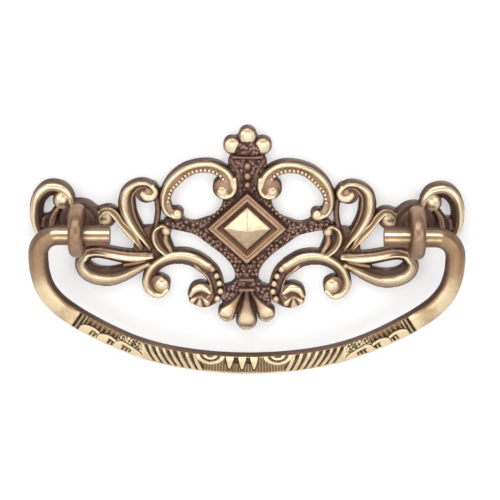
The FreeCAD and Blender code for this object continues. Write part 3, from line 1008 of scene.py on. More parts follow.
@dataclass(frozen=True)
class BeadRow:
    """A row of round beads along a path on the plate.

    Two of the sizes are places on a bead, from -1 at its front to 1 at its
    back: buff_full, where it is buffed most, and foot, over which it darkens
    towards its back as painted shade.
    """

    name: str
    path: tuple[Point2, ...]
    pitch: float
    radius: float
    seat: float = GROUND_H
    tall: float = 1.0
    buff: float = 1.0
    buff_full: float = -0.85
    foot: Point2 = (-0.45, 0.1)

    def mesh(self, side: float, finish: bpy.types.Material) -> bpy.types.Mesh:
        """Builds the row with Geometry Nodes.

        Args:
            side: -1 for the left half, 1 for the right one.
            finish: the beads' material.

        Returns:
            The beads as a mesh.
        """
        sizes = {"Pitch": self.pitch * MM, "Radius": self.radius * MM, "Tall": self.tall}
        tree = GeometryTree(self.name, sizes, finish)
        entry = tree.entry.outputs
        ball = tree.node("GeometryNodeMeshIcoSphere", Radius=1.0, Subdivisions=2).outputs["Mesh"]
        where = tree.node("GeometryNodeInputPosition").outputs[0]
        depth = tree.node("ShaderNodeSeparateXYZ", Vector=where).outputs["Y"]
        start, end = self.foot
        front = tree.node("ShaderNodeMapRange", Value=depth, From_Min=0.0, From_Max=self.buff_full, To_Max=self.buff)
        # painted shade: this number darkens the back half of each bead
        shade = tree.node("ShaderNodeMapRange", Value=depth, From_Min=start, From_Max=end)
        for name, value in (("buff", front.outputs[0]), ("hollow", shade.outputs[0])):
            settings = {"data_type": "FLOAT", "domain": "POINT"}
            ball = tree.node(
                "GeometryNodeStoreNamedAttribute", settings, Geometry=ball, Name=name, Value=value
            ).outputs[0]
        high = tree.node("ShaderNodeMath", {"operation": "MULTIPLY"}, Value=entry["Radius"])
        tree.tree.links.new(entry["Tall"], high.inputs[1])
        size = tree.node("ShaderNodeCombineXYZ", X=entry["Radius"], Y=high.outputs[0], Z=entry["Radius"])
        spots = tree.node(
            "GeometryNodeResampleCurve", {"mode": "LENGTH"}, Curve=entry["Geometry"], Length=entry["Pitch"]
        )
        beads = tree.node(
            "GeometryNodeInstanceOnPoints", Points=spots.outputs[0], Instance=ball, Scale=size.outputs[0]
        )
        return tree.result(beads.outputs[0], self._line(side))

    def _line(self, side: float) -> bpy.types.Object:
        """The row's path as a curve on one half of the plate."""
        places = smooth_path(self.path, BEAD_STEP)
        line = bpy.data.curves.new(self.name, "CURVE")
        line.dimensions = "3D"
        spline = line.splines.new("POLY")
        spline.points.add(len(places) - 1)
        for point, (x, z) in zip(spline.points, places):
            point.co = (side * x * MM, -self.seat * MM, z * MM, 1.0)
        return bpy.data.objects.new(self.name, line)


@dataclass
class Backplate:
    """The pierced plate: bands, grounds, bosses, diamond and rows of beads."""

    finish: AgedBrass
    hole_r: float = 2.75
    diamond_z: float = -1.75
    diamond_w: float = 9.17
    diamond_h: float = 8.7
    bands: tuple[Band, ...] = (
        Band(
            "end_scroll",
            ((46.6, -4.4, 0.9), (47.8, -1.6, 1.2), (48.08, 1.6, 1.44), (47.4, 4.9, 1.65), (45.2, 7.2, 1.75),
             (42.4, 7.1, 1.65), (40.7, 5.5, 1.3), (40.1, 3.8, 0.8)),
            Profile.TUBE,
            rise=1.1,
        ),
        Band(
            "comma_scroll",
            ((33.9, -0.6, 0.5), (34.0, 0.9, 0.55), (32.9, 2.2, 0.75), (31.2, 2.3, 0.9), (29.9, 1.1, 1.0),
             (28.6, -0.9, 0.9), (26.3, -3.6, 1.05), (24.2, -6.6, 0.45)),
            Profile.TAIL,
            rise=0.8,
        ),
        Band(
            "c_scroll",
            ((21.3, 7.3, 0.8), (23.0, 8.5, 0.95), (25.3, 8.1, 1.2), (27.1, 6.1, 1.75), (27.4, 3.3, 2.0),
             (26.6, 0.5, 1.7), (25.1, -2.3, 1.4), (23.5, -4.6, 0.9), (22.2, -6.6, 0.55)),
            Profile.TWIN,
            rise=1.1,
        ),
        Band(
            "hook",
            ((18.0, -2.1, 0.5), (19.4, -1.5, 0.7), (20.9, -2.6, 0.8), (21.1, -4.5, 0.85), (20.1, -6.7, 0.85),
             (18.2, -8.4, 0.7)),
            Profile.HOOK,
            rise=0.9,
        ),
        Band(
            "big_scroll",
            ((16.6, 1.3, 1.0), (18.1, 2.4, 1.2), (18.7, 4.8, 1.25), (18.1, 7.4, 1.4), (16.5, 9.7, 1.55),
             (14.3, 11.6, 1.5), (12.0, 12.6, 1.4), (9.9, 12.95, 1.4), (7.9, 12.8, 1.45), (5.9, 11.9, 1.5),
             (4.4, 10.3, 1.5), (3.8, 8.4, 1.3)),
            Profile.BEADED,
            rise=1.0,
        ),
        Band(
            "big_curl",
            ((2.8, 10.0, 0.6), (2.75, 8.1, 0.65), (3.4, 6.5, 0.7), (4.7, 5.8, 0.7), (6.0, 5.9, 0.6)),
            top=3.25,
        ),
        Band(
            "c_curl",
            ((21.4, 8.0, 0.8), (20.9, 6.9, 0.9), (21.6, 5.6, 1.0), (22.9, 5.5, 1.05), (23.7, 6.2, 0.9)),
            top=3.25,
        ),
        Band(
            "arch",
            ((18.8, -17.0, 0.9), (20.5, -18.0, 1.35), (22.2, -17.0, 1.45), (22.8, -14.8, 1.45), (21.9, -12.4, 1.45),
             (20.1, -10.6, 1.5), (17.7, -9.4, 1.7), (15.0, -9.1, 1.85), (12.3, -9.7, 1.9), (9.8, -11.3, 1.9)),
            Profile.SCOOP,
            rise=1.1,
        ),
        Band(
            "loop_upper",
            ((37.4, -9.6, 1.2), (36.3, -8.3, 1.45), (34.2, -8.0, 1.5), (31.6, -8.5, 1.5), (28.6, -9.1, 1.55),
             (25.4, -9.3, 1.5), (22.4, -8.9, 1.1)),
            Profile.LOOP_TOP,
            rise=1.0,
        ),
        Band(
            "loop_lower",
            ((37.0, -8.9, 1.2), (37.9, -10.6, 1.75), (37.1, -12.6, 2.05), (35.0, -13.9, 2.1), (32.0, -14.25, 2.1),
             (29.2, -13.6, 1.9), (26.4, -12.3, 1.6), (23.2, -10.8, 1.0)),
            Profile.LOOP_LOW,
            rise=1.1,
        ),
        Band(
            "chain",
            ((10.4, -10.8, 1.8), (8.2, -12.9, 1.8), (7.1, -15.4, 1.7), (7.0, -17.7, 1.6), (8.1, -19.5, 1.4),
             (10.1, -20.4, 1.2), (12.3, -19.8, 0.9)),
            Profile.CHAIN,
            top=2.6,
            rise=0.6,
            buff=0.7,
        ),
        Band("disc_lobe_inner", ((10.5, -18.7, 0.4), (9.2, -20.2, 0.85)), top=3.1, fade=(0.5, 1.2)),
        Band("disc_lobe_middle", ((10.9, -18.8, 0.4), (11.0, -20.5, 0.9)), top=3.1, fade=(0.5, 1.2)),
        Band("disc_lobe_outer", ((11.3, -18.7, 0.4), (12.6, -19.7, 0.85)), top=3.1, fade=(0.5, 1.2)),
        Band(
            "leaf_post",
            ((42.9, 2.9, 0.7), (44.0, 1.2, 0.9), (44.6, -0.6, 0.9), (45.0, -2.6, 0.6)),
            top=2.9,
            rise=0.7,
            buff=0.4,
        ),
        Band("leaf_post_thin", ((46.4, 0.0, 0.5), (46.7, -1.6, 0.5)), top=2.6, rise=0.4, buff=0.25),
        Band("leaf_knot", ((28.2, -11.0, 0.5), (26.0, -10.6, 0.6), (23.6, -10.0, 0.5)), top=2.8, rise=0.6, buff=0.35),
        Band("leaf_disc", ((13.0, -18.3, 0.7), (11.9, -16.9, 1.15), (10.2, -16.6, 1.15), (8.6, -17.7, 0.7)), top=3.15),
        Band(
            "leaf_neck",
            ((3.7, 14.3, 0.5), (2.9, 12.9, 0.5), (2.0, 11.0, 0.5), (2.0, 8.6, 0.5)),
            top=2.4,
            rise=0.35,
            buff=0.1,
        ),
        Band(
            "leaf_side",
            ((20.7, 6.0, 0.7), (20.35, 3.0, 0.65), (20.5, 0.5, 0.7), (21.0, -1.8, 0.6)),
            top=2.5,
            rise=0.5,
            buff=0.15,
        ),
        Band("leaf_hook", ((18.6, -3.4, 0.6), (18.6, -5.2, 0.8), (17.6, -7.2, 0.7)), top=2.9, rise=0.7, buff=0.6),
        Band("petal_side", ((1.2, -17.6, 0.5), (2.8, -20.3, 1.0), (4.5, -22.9, 2.15)), top=3.05, fade=(0.0, 1.15)),
        Band("petal_middle", ((0.0, -17.6, 0.7), (0.0, -21.0, 1.3), (0.0, -24.6, 2.5)), top=3.2, fade=(0.0, 1.15)),
        Band("finial_bar", ((0.0, 15.1, 0.45), (3.2, 15.2, 0.45)), top=2.75, rise=0.5, buff=0.22),
        Band("shell_bar_upper", ((0.0, -14.5, 0.45), (1.5, -14.5, 0.45)), top=3.0, rise=0.5, buff=0.3),
        Band("shell_bar_lower", ((0.0, -17.0, 0.5), (1.5, -17.0, 0.5)), top=3.0, rise=0.5, buff=0.3),
    )
    grounds: tuple[Ground, ...] = (
        Ground(
            "body",
            ((0.0, 20.8), (2.2, 20.0), (4.2, 18.4), (4.5, 16.9), (3.9, 15.4), (4.4, 13.8), (3.8, 11.5), (3.5, 8.0),
             (5.4, 4.6), (6.1, 2.4), (7.5, 0.9), (9.6, 0.1), (12.0, -0.6), (13.9, -0.2), (15.8, 0.9), (18.6, 0.2),
             (19.2, -1.8), (17.2, -2.3), (14.4, -2.9), (11.8, -3.7), (9.4, -5.5), (7.5, -7.0), (5.6, -8.6),
             (4.0, -10.4), (3.0, -12.2), (2.7, -13.9), (3.2, -15.6), (5.2, -16.6), (5.9, -19.0), (4.9, -22.0),
             (1.8, -23.5), (0.0, -23.6)),
            GROUND_H,
            matted=1.0,
            mirrored=True,
        ),
        Ground(
            "finial_core",
            ((0.0, 19.1), (1.5, 18.8), (2.7, 17.3), (2.3, 16.0), (0.0, 15.8)),
            2.92,
            matted=0.9,
            mirrored=True,
        ),
        Ground(
            "knot",
            ((25.6, -3.7), (23.2, -1.9), (21.4, -1.8), (19.4, -1.6), (17.9, -3.0), (17.5, -5.0), (16.9, -6.8),
             (16.8, -8.4), (19.5, -10.2), (22.0, -12.0), (24.8, -12.2), (28.4, -12.0), (28.7, -10.4), (26.5, -8.6), (26.0, -5.8)),
            GROUND_H,
            matted=0.3,
        ),
        Ground(
            "seat",
            ((34.2, 1.9), (36.4, 2.6), (38.6, 3.9), (41.0, 3.6), (43.6, 2.5), (45.0, 1.2), (46.8, 0.4), (47.6, -2.8),
             (46.2, -4.7), (43.5, -3.8), (41.3, -4.8), (40.3, -8.3), (36.9, -8.3), (34.9, -5.2), (33.4, -2.6),
             (32.8, -0.4)),
            GROUND_H,
            matted=0.3,
        ),
    )
    knobs: tuple[Knob, ...] = (
        Knob(POST_X, 0.0, 4.6, PAD_H, rise=0.3, buff=0.06, flat=True),
        Knob(5.1, 7.8, 2.75, 2.8, rise=0.7, buff=0.35),
        Knob(32.4, 0.6, 2.5, SEAT_H, rise=0.2, buff=0.1, flat=True),
        Knob(23.0, 6.6, 2.4, SEAT_H, rise=0.2, buff=0.1, flat=True),
        Knob(10.6, -18.3, 3.0, SEAT_H, rise=0.2, buff=0.12, flat=True),
        Knob(41.95, 4.7, 2.3, 3.4, rise=1.3),
        Knob(32.5, 0.5, 1.9, 3.3, rise=1.2, buff=0.9),
        Knob(5.75, 6.9, 1.6, 3.3, buff=0.9),
        Knob(22.5, 6.8, 1.0, 2.95, rise=0.5, buff=0.5),
        Knob(15.95, 1.5, 1.45, 3.35, rise=1.2),
        Knob(19.75, -15.9, 2.05, 3.35, rise=1.2),
        Knob(18.5, -2.6, 1.2, 3.2, rise=0.9, buff=0.85),
        Knob(20.2, -15.6, 2.0, 2.5, rise=0.2, buff=0.25, flat=True),
        Knob(3.5, 17.9, 1.95, 3.0, rise=0.8),
        Knob(0.0, 20.2, 1.98, 3.05, rise=0.7),
    )
    neck_beads: tuple[Knob, ...] = (
        Knob(0.0, 13.1, 0.95, 3.0, rise=0.9, buff=0.55),
        Knob(0.0, 10.7, 0.95, 3.0, rise=0.9, buff=0.55),
        Knob(0.0, 8.6, 0.85, 3.0, rise=0.9, buff=0.55),
    )
    # Distance in from the diamond's edge, height and how buffed, up to the peak
    diamond_steps: tuple[Point3, ...] = (
        (0.0, 2.95, 0.25), (0.22, 3.35, 0.55), (0.5, 3.35, 0.5), (0.75, 3.12, 0.32), (0.95, 3.12, 0.34),
        (1.15, 3.4, 0.6), (1.38, 3.4, 0.5), (1.9, 2.65, 0.36), (2.2, 2.5, 0.3), (2.38, 2.5, 0.3),
        (2.54, 2.9, 0.75), (2.75, 3.05, 0.8), (6.31, 4.95, 0.8),
    )
    rows: tuple[BeadRow, ...] = (
        BeadRow(
            "scroll_beads",
            ((18.0, 4.6), (17.5, 6.9), (16.6, 8.1), (15.5, 9.3), (14.5, 10.3), (13.6, 11.1), (12.6, 11.7),
             (11.4, 12.05), (10.0, 12.2), (8.7, 12.1), (7.4, 11.7), (6.2, 11.0), (5.5, 10.1)),
            pitch=0.95,
            radius=0.5,
            seat=2.66,
            buff=0.95,
        ),
        BeadRow(
            "chain_beads",
            ((8.0, -11.8), (6.9, -13.7), (6.3, -15.6), (6.1, -17.5), (6.8, -19.2)),
            pitch=1.8,
            radius=0.95,
            seat=2.35,
            tall=0.95,
            buff=0.85,
        ),
        BeadRow(
            "upper_ground_beads",
            ((5.1, 3.6), (6.4, 2.1), (7.8, 0.9), (9.3, -0.05), (10.6, -0.9)),
            pitch=1.15,
            radius=0.56,
            buff=0.3,
        ),
        BeadRow(
            "upper_inner_beads",
            ((5.6, 9.4), (4.2, 6.4), (3.2, 7.2), (2.4, 9.4), (2.2, 12.4), (2.6, 14.2)),
            pitch=1.2,
            radius=0.42,
            buff=0.24,
        ),
        BeadRow("arm_beads", ((11.2, -2.3), (13.6, -1.9), (15.8, -0.9), (18.2, -0.9)), pitch=1.2, radius=0.5, buff=0.3),
        BeadRow(
            "lower_ground_beads",
            ((9.6, -3.4), (7.4, -5.5), (5.8, -7.2), (4.4, -8.8), (3.2, -10.4), (2.2, -12.0), (1.4, -13.2)),
            pitch=1.25,
            radius=0.6,
            buff=0.3,
        ),
        BeadRow("lower_inner_beads", ((2.6, -9.2), (1.1, -10.6), (0.7, -12.4)), pitch=1.25, radius=0.55, buff=0.3),
    )

    def build(self) -> bpy.types.Object:
        """Builds the casting and returns its object."""
        relief = Relief()
        for ground in self.grounds:
            relief.ground(ground)
        for knob in self.knobs:
            relief.knob(knob)
        for band in self.bands:
            relief.band(band)
        for bead in self.neck_beads:
            relief.knob(bead)
        relief.pyramid(0.0, self.diamond_z, self.diamond_w, self.diamond_h, self.diamond_steps)
        relief.cut(POST_X, 0.0, self.hole_r)
        LOG.debug("laid: %s", ", ".join(part.name for part in self.grounds + self.bands))
        finish = self.finish.material()
        meshes = [relief.mesh("backplate_cast")]
        meshes[0].materials.append(finish)
        for row in self.rows:
            for side in SIDES:
                beads = row.mesh(side, finish)
                stamp(beads, pebble=0.0)
                meshes.append(beads)
        piece = join_meshes("backplate_cast", meshes)
        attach(piece, "plate")
        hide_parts("backplate")
        LOG.info("backplate: %d faces", len(piece.data.polygons))
        return piece


@dataclass
class EyePost:
    """Ring, stem, collar, neck, shank and thread of one post."""

    finish: AgedBrass
    ring_r: float = 4.73
    ring_thick: float = 1.38
    ring_half_width: float = 1.7
    ring_square: float = 2.3
    ring_inset: float = 0.985
    ring_sides: int = 112
    ring_section_sides: int = 40
    collar_r: float = 3.6
    collar_h: float = 1.0
    stem_r: float = 2.4
    stem_start: float = 4.0
    neck_r: float = 2.7
    shank_r: float = 2.2
    core_r: float = 1.86
    thread_start: float = 17.0
    end: float = 26.0
    pitch: float = 0.8
    rib_r: float = 0.36
    turned_sides: int = 72

    def build(self, side: float, node: str) -> bpy.types.Object:
        """Builds one post.

        Args:
            side: -1 for the left post, 1 for the right one.
            node: the node that it replaces.

        Returns:
            The post's object.
        """
        x = side * POST_X
        finish = self.finish.material()
        meshes = [self._ring(x), self._turned(x)]
        for mesh in meshes:
            mesh.materials.append(finish)
        thread = self._thread(x, finish)
        stamp(thread, buff=0.7, hollow=0.1, pebble=0.0)
        piece = join_meshes(f"{node}_turned", meshes + [thread])
        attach(piece, "plate")
        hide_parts(node)
        LOG.info("%s: %d faces", node, len(piece.data.polygons))
        return piece

    def _ring(self, x: float) -> bpy.types.Mesh:
        """Builds the ring eye, a little flattened on its two faces.

        Args:
            x: the post's axis.

        Returns:
            The ring with a slightly uneven surface.
        """
        turn = np.linspace(0, 2 * math.pi, self.ring_sides, endpoint=False)[:, None]
        roll = np.linspace(0, 2 * math.pi, self.ring_section_sides, endpoint=False)[None, :]
        bulge = 2 / self.ring_square
        out = np.sign(np.cos(roll)) * np.abs(np.cos(roll)) ** bulge * self.ring_thick
        wide = np.sign(np.sin(roll)) * np.abs(np.sin(roll)) ** bulge * self.ring_half_width
        waver = 0.02 * np.sin(3 * turn + 1.0) + 0.015 * np.sin(7 * turn + 2 * roll)
        radius = self.ring_r + out * (1 + waver) * self.ring_inset
        spots = np.stack(
            [x + wide + 0 * turn, -EYE_Y - radius * np.cos(turn), radius * np.sin(turn) + 0 * roll], axis=-1
        )
        faces = strip_faces(self.ring_sides, self.ring_section_sides, closed=True)
        mesh = mesh_of("ring", spots.reshape(-1, 3), faces, 60.0)
        outward = np.clip(np.cos(roll) * 1.2, 0.0, 1.0) + 0 * turn
        inner = np.clip(-np.cos(roll) * 0.8, 0.0, 1.0) + 0 * turn
        stamp(mesh, buff=0.28 + 0.42 * outward.ravel(), hollow=0.5 * inner.ravel(), pebble=0.0)
        return mesh

    def _turned(self, x: float) -> bpy.types.Mesh:
        """Builds stem, collar, neck and shank, turned about the post's axis.

        Args:
            x: the axis.

        Returns:
            The closed mesh, its edges eased by small steps.
        """
        seat = PAD_H + self.collar_h
        stem = -EYE_Y + self.stem_start
        outline = [
            (0.0, stem), (1.5, stem), (1.9, stem + 0.4), (self.stem_r, -seat - 0.45),
            (self.stem_r + 0.2, -seat - 0.1), (self.collar_r - 0.35, -seat), (self.collar_r - 0.1, -seat + 0.1),
            (self.collar_r, -seat + 0.35), (self.collar_r, -PAD_H - 0.2), (self.collar_r - 0.12, -PAD_H),
            (self.neck_r, -PAD_H), (self.neck_r, -0.1), (self.neck_r - 0.1, 0.0), (self.shank_r, 0.0),
            (self.shank_r, self.thread_start - 0.3), (self.core_r, self.thread_start),
            (self.core_r, self.end - 0.5), (self.core_r - 0.5, self.end), (0.0, self.end),
        ]
        mesh = lathe("turned", outline, x, self.turned_sides)
        depth = np.array([v.co.y / MM for v in mesh.vertices])
        buff = np.where(depth > -PAD_H, 0.75, 0.35)
        hollow = np.where(np.abs(depth + seat) < 0.3, 0.4, 0.0)
        stamp(mesh, buff=buff, hollow=hollow, pebble=0.0)
        return mesh

    def _thread(self, x: float, finish: bpy.types.Material) -> bpy.types.Mesh:
        """The thread's rib, wound with Geometry Nodes.

        Args:
            x: the post's axis.
            finish: the rib's material.

        Returns:
            The rib as a mesh.
        """
        length = self.end - self.thread_start - 0.9
        turns = length / self.pitch
        sizes = {"Radius": self.core_r * MM, "Length": length * MM, "Turns": turns, "Rib": self.rib_r * MM}
        tree = GeometryTree("post_thread", sizes, finish)
        entry = tree.entry.outputs
        coil = tree.node(
            "GeometryNodeCurveSpiral",
            Resolution=40,
            Rotations=entry["Turns"],
            Start_Radius=entry["Radius"],
            End_Radius=entry["Radius"],
            Height=entry["Length"],
        )
        rib = tree.node("GeometryNodeCurvePrimitiveCircle", Resolution=4, Radius=entry["Rib"])
        section = rib.outputs["Curve"]
        solid = tree.node("GeometryNodeCurveToMesh", Curve=coil.outputs[0], Profile_Curve=section, Fill_Caps=True)
        turned = tree.node(
            "GeometryNodeTransform",
            Geometry=solid.outputs[0],
            Translation=(x * MM, (self.thread_start + 0.4) * MM, 0.0),
            Rotation=(-math.pi / 2, 0.0, 0.0),
        )
        source = bpy.data.objects.new("post_thread", bpy.data.meshes.new("post_thread"))
        return tree.result(turned.outputs[0], source)


def lathe(name: str, outline: Sequence[Point2], x: float, sides: int) -> bpy.types.Mesh:
    """Turns an outline about the axis of a post.

    Args:
        name: the mesh's name.
        outline: radius and y, from one end of the axis to the other.
        x: where the axis lies.
        sides: corners of a ring.

    Returns:
        The closed mesh.
    """
    spots: list[Point3] = []
    rings: list[list[int]] = []
    for radius, y in outline:
        count = sides if radius > 0 else 1
        rings.append(list(range(len(spots), len(spots) + count)))
        for k in range(count):
            turn = 2 * math.pi * k / sides
            spots.append((x + radius * math.cos(turn), y, radius * math.sin(turn)))
    faces = []
    for lower, upper in zip(rings, rings[1:]):
        for k in range(sides):
            corners = [ring[n % len(ring)] for ring, n in ((lower, k), (lower, k + 1), (upper, k + 1), (upper, k))]
            faces.append(list(dict.fromkeys(corners)))
    return mesh_of(name, np.array(spots), faces, 30.0)


@dataclass
class HexNut:
    """Hexagon nut with chamfered corners and a bored middle."""

    finish: AgedBrass
    flats: float = 8.0
    tall: float = 3.2
    bore_r: float = 2.1
    seat: float = 19.0
    chamfer: float = 0.45
    face_share: float = 0.94
    corner_rise: float = 0.215
    bore_edge: float = 0.25
    sides: int = 96

    def build(self, side: float, node: str) -> bpy.types.Object:
        """Builds one nut.

        Args:
            side: -1 for the left nut, 1 for the right one.
            node: the node that it replaces.

        Returns:
            The nut's object.
        """
        turns = [2 * math.pi * k / self.sides for k in range(self.sides)]
        rings = list(zip(*(self._section(turn) for turn in turns)))
        spots = []
        for ring in rings:
            for turn, (reach, height) in zip(turns, ring):
                spots.append((side * POST_X + reach * math.sin(turn), self.seat + height, reach * math.cos(turn)))
        mesh = mesh_of(f"{node}_cut", np.array(spots), strip_faces(len(rings), self.sides, closed=True), 20.0)
        stamp(mesh, buff=0.8, hollow=0.0, pebble=0.0)
        mesh.materials.append(self.finish.material())
        piece = piece_of(f"{node}_cut", mesh)
        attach(piece, "plate")
        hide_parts(node)
        LOG.info("%s: %d faces", node, len(mesh.polygons))
        return piece

    def _section(self, turn: float) -> list[Point2]:
        """Works out the nut's section at an angle.

        Args:
            turn: the angle about the bore.

        Returns:
            Radius and height of its corners, from the bore's lower edge round to the bore.
        """
        apothem = self.flats / 2
        lean = math.cos((turn - math.pi / 6) % (math.pi / 3) - math.pi / 6)
        corner = apothem / lean
        face = apothem * self.face_share
        drop = self.chamfer * max(0.0, corner - face) / (apothem * self.corner_rise)
        mouth = self.bore_r + self.bore_edge
        return [
            (mouth, 0.0), (face, 0.0), (corner, drop), (corner, self.tall - drop), (face, self.tall),
            (mouth, self.tall), (self.bore_r, self.tall - self.bore_edge), (self.bore_r, self.bore_edge),
        ]


@dataclass
class Bail:
    """The swinging bar: stubs, bends and the engraved lower bar."""

    finish: AgedBrass
    stub_end: float = 30.8
    arm_x: float = 47.05
    bend_r: float = 4.6
    spacing: float = 0.1
    coarse: int = 4
    engraved_to: float = 40.6
    sides: int = 84
    stations: tuple[tuple[float, float, float, float, float], ...] = (
        (47.05, 1.5, 2.25, 2.25, 2.0), (46.8, 4.5, 2.25, 2.2, 2.1), (45.7, 8.2, 2.25, 2.0, 2.4),
        (43.3, 11.7, 2.25, 1.8, 3.2), (39.6, 14.8, 2.2, 1.65, 4.6), (35.2, 17.6, 2.15, 1.6, 5.5),
        (30.2, 20.3, 2.1, 1.6, 5.5), (24.5, 22.8, 2.1, 1.6, 5.5), (17.6, 24.8, 2.15, 1.6, 5.5),
        (9.0, 26.2, 2.25, 1.6, 5.5), (0.0, 26.7, 2.3, 1.6, 5.5),
    )
    cut_depth: float = 0.3
    bar_top: float = -8.0
    stub_parts: int = 5
    bend_parts: int = 6
    front_finer: float = 2.4
    # Z and how buffed the arms are there: high at the lower bends as a painted highlight, lower above them as painted
    # shade
    arm_painted_light: tuple[Point2, ...] = (
        (-20.0, 0.62), (-17.0, 0.95), (-13.0, 0.9), (-9.0, 0.55), (-5.0, 0.42), (-1.0, 0.4),
    )

    def _half_rows(self) -> Grid:
        """Stations of the right half: x, z, half height, half depth, squareness."""
        rows = [(self.stub_end, -STUB_DROP, ROD_R, ROD_R, 2.0)]
        start = self.arm_x - self.bend_r
        for k in range(1, self.stub_parts):
            x = self.stub_end + (start - self.stub_end) * k / self.stub_parts
            rows.append((x, -STUB_DROP, ROD_R, ROD_R, 2.0))
        for k in range(self.bend_parts + 1):
            turn = math.pi / 2 * k / self.bend_parts
            x, z = start + self.bend_r * math.sin(turn), -STUB_DROP - self.bend_r * (1 - math.cos(turn))
            rows.append((x, z, ROD_R, ROD_R, 2.0))
        foot = STUB_DROP + self.bend_r
        rows += [(x, -foot - drop, h, d, q) for x, drop, h, d, q in self.stations]
        return np.array(rows)

    def _sections(self, path: Grid) -> tuple[Grid, Grid]:
        """Points of each section, from -1 to 1 upwards and from front to back.

        Args:
            path: stations with half height, half depth and squareness.

        Returns:
            Places up and back, one row for a station.
        """
        turn = np.linspace(0, 2 * math.pi, 721)
        c, s = np.cos(turn), np.sin(turn)
        ups, backs = [], []
        for high, deep, square in path[:, 2:5]:
            up = np.sign(c) * np.abs(c) ** (2 / square)
            back = np.sign(s) * np.abs(s) ** (2 / square)
            step = np.hypot(np.diff(up * high), np.diff(back * deep))
            step = step * np.where(back[1:] < 0, self.front_finer, 1.0)
            length = np.concatenate([[0.0], np.cumsum(step)])
            places = np.linspace(0.0, length[-1], self.sides, endpoint=False)
            ups.append(np.interp(places, length, up))
            backs.append(np.interp(places, length, back))
        return np.array(ups), np.array(backs)

    def _buff_and_painted_light(self, path: Grid, up: Grid, back: Grid) -> Grid:
        """Works out the buffing with painted light: the front is buffed most and the top least; the lower bends carry a
        painted highlight, the arms painted shade on the side where up passes 0.5, and the stubs painted highlight
        lines.

        Args:
            path: stations of the bail.
            up: places on each section, from -1 below to 1 above.
            back: places on each section, from -1 in front to 1 behind.

        Returns:
            How buffed each point is, the painted light included.
        """
        x, z = np.abs(path[:, 0:1]), path[:, 1:2]
        front = np.clip(-back * 1.3 - 0.1, 0.0, 1.0)
        under = np.clip(-up * 1.2 - 0.2, 0.0, 1.0)
        on_bar = falling(x, self.engraved_to + 1.0, 3.0) * (z < self.bar_top)
        arm = np.interp(z, *zip(*self.arm_painted_light))
        # the front is buffed most; where up passes 0.5 the arms darken as painted shade
        arm = arm * (0.12 + 0.88 * front) * (1.0 - 0.85 * rising(up, 0.5, 0.35))
        stub = (z > -2.5) & (x < 43.5)
        # painted highlight: two bright lines along each stub, the second only on its front half
        lines = bell(up, -0.62, 0.22) + 0.75 * bell(up, -0.05, 0.2) * (back < 0.0)
        arm = np.where(stub, 0.2 + 0.8 * lines, arm)
        bar = 0.02 + 0.94 * front + 0.45 * under * (1.0 - front)
        return arm * (1.0 - on_bar) + bar * on_bar

    def build(self) -> bpy.types.Object:
        """Builds the bail and returns its object."""
        half = self._half_rows()
        rows = np.vstack([half, half[-2::-1] * (-1, 1, 1, 1, 1)])
        path = smooth_path(rows, self.spacing)
        fine = (np.abs(path[:, 0]) < self.engraved_to) & (path[:, 1] < self.bar_top)
        path = path[fine | (np.arange(len(path)) % self.coarse == 0)]
        run = directions(path)
        up, back = self._sections(path)
        front = np.clip(-back, 0.0, 1.0)
        along = np.where(path[:, 1:2] < self.bar_top, path[:, 0:1], FAR)
        mark, kept = Engraving().carved(along, up, front)
        rise = up * path[:, 2:3]
        reach = back * path[:, 3:4] + mark * self.cut_depth * front**0.5
        spots = np.stack(
            [
                path[:, 0:1] + run[:, 1:2] * rise,
                -EYE_Y + reach,
                path[:, 1:2] - run[:, 0:1] * rise,
            ],
            axis=-1,
        )
        faces = strip_faces(len(path), self.sides)
        last = (len(path) - 1) * self.sides
        faces += [list(range(self.sides)), list(range(last, last + self.sides))[::-1]]
        mesh = mesh_of("bail_bar", spots.reshape(-1, 3), faces, 45.0)
        # the bail's buff number carries painted highlights and painted shade as well as the buffing
        stamp(mesh, buff=(self._buff_and_painted_light(path, up, back) * kept).ravel(), hollow=mark.ravel(), pebble=0.0)
        mesh.materials.append(self.finish.material())
        piece = piece_of("bail_bar", mesh)
        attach(piece, "handle")
        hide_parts("bail")
        LOG.info("bail: %d faces", len(mesh.polygons))
        return piece


@dataclass
class Chasing:
    """Cuts made so far, from 0 to 1 deep, and how much of the buffing is kept."""

    cut: Grid
    kept: Grid

    def deepen(self, cut: Grid) -> None:
        """Adds cuts where they are deeper."""
        self.cut = np.maximum(self.cut, cut)

    def dull(self, share: Grid) -> None:
        """Takes a share of the buffing away."""
        self.kept = self.kept * (1.0 - share)

    def leave(self, where: Grid, buff: float) -> None:
        """Leaves a figure standing, uncut and buffed."""
        self.cut = self.cut * (1.0 - where)
        self.kept = self.kept + (buff - self.kept) * where


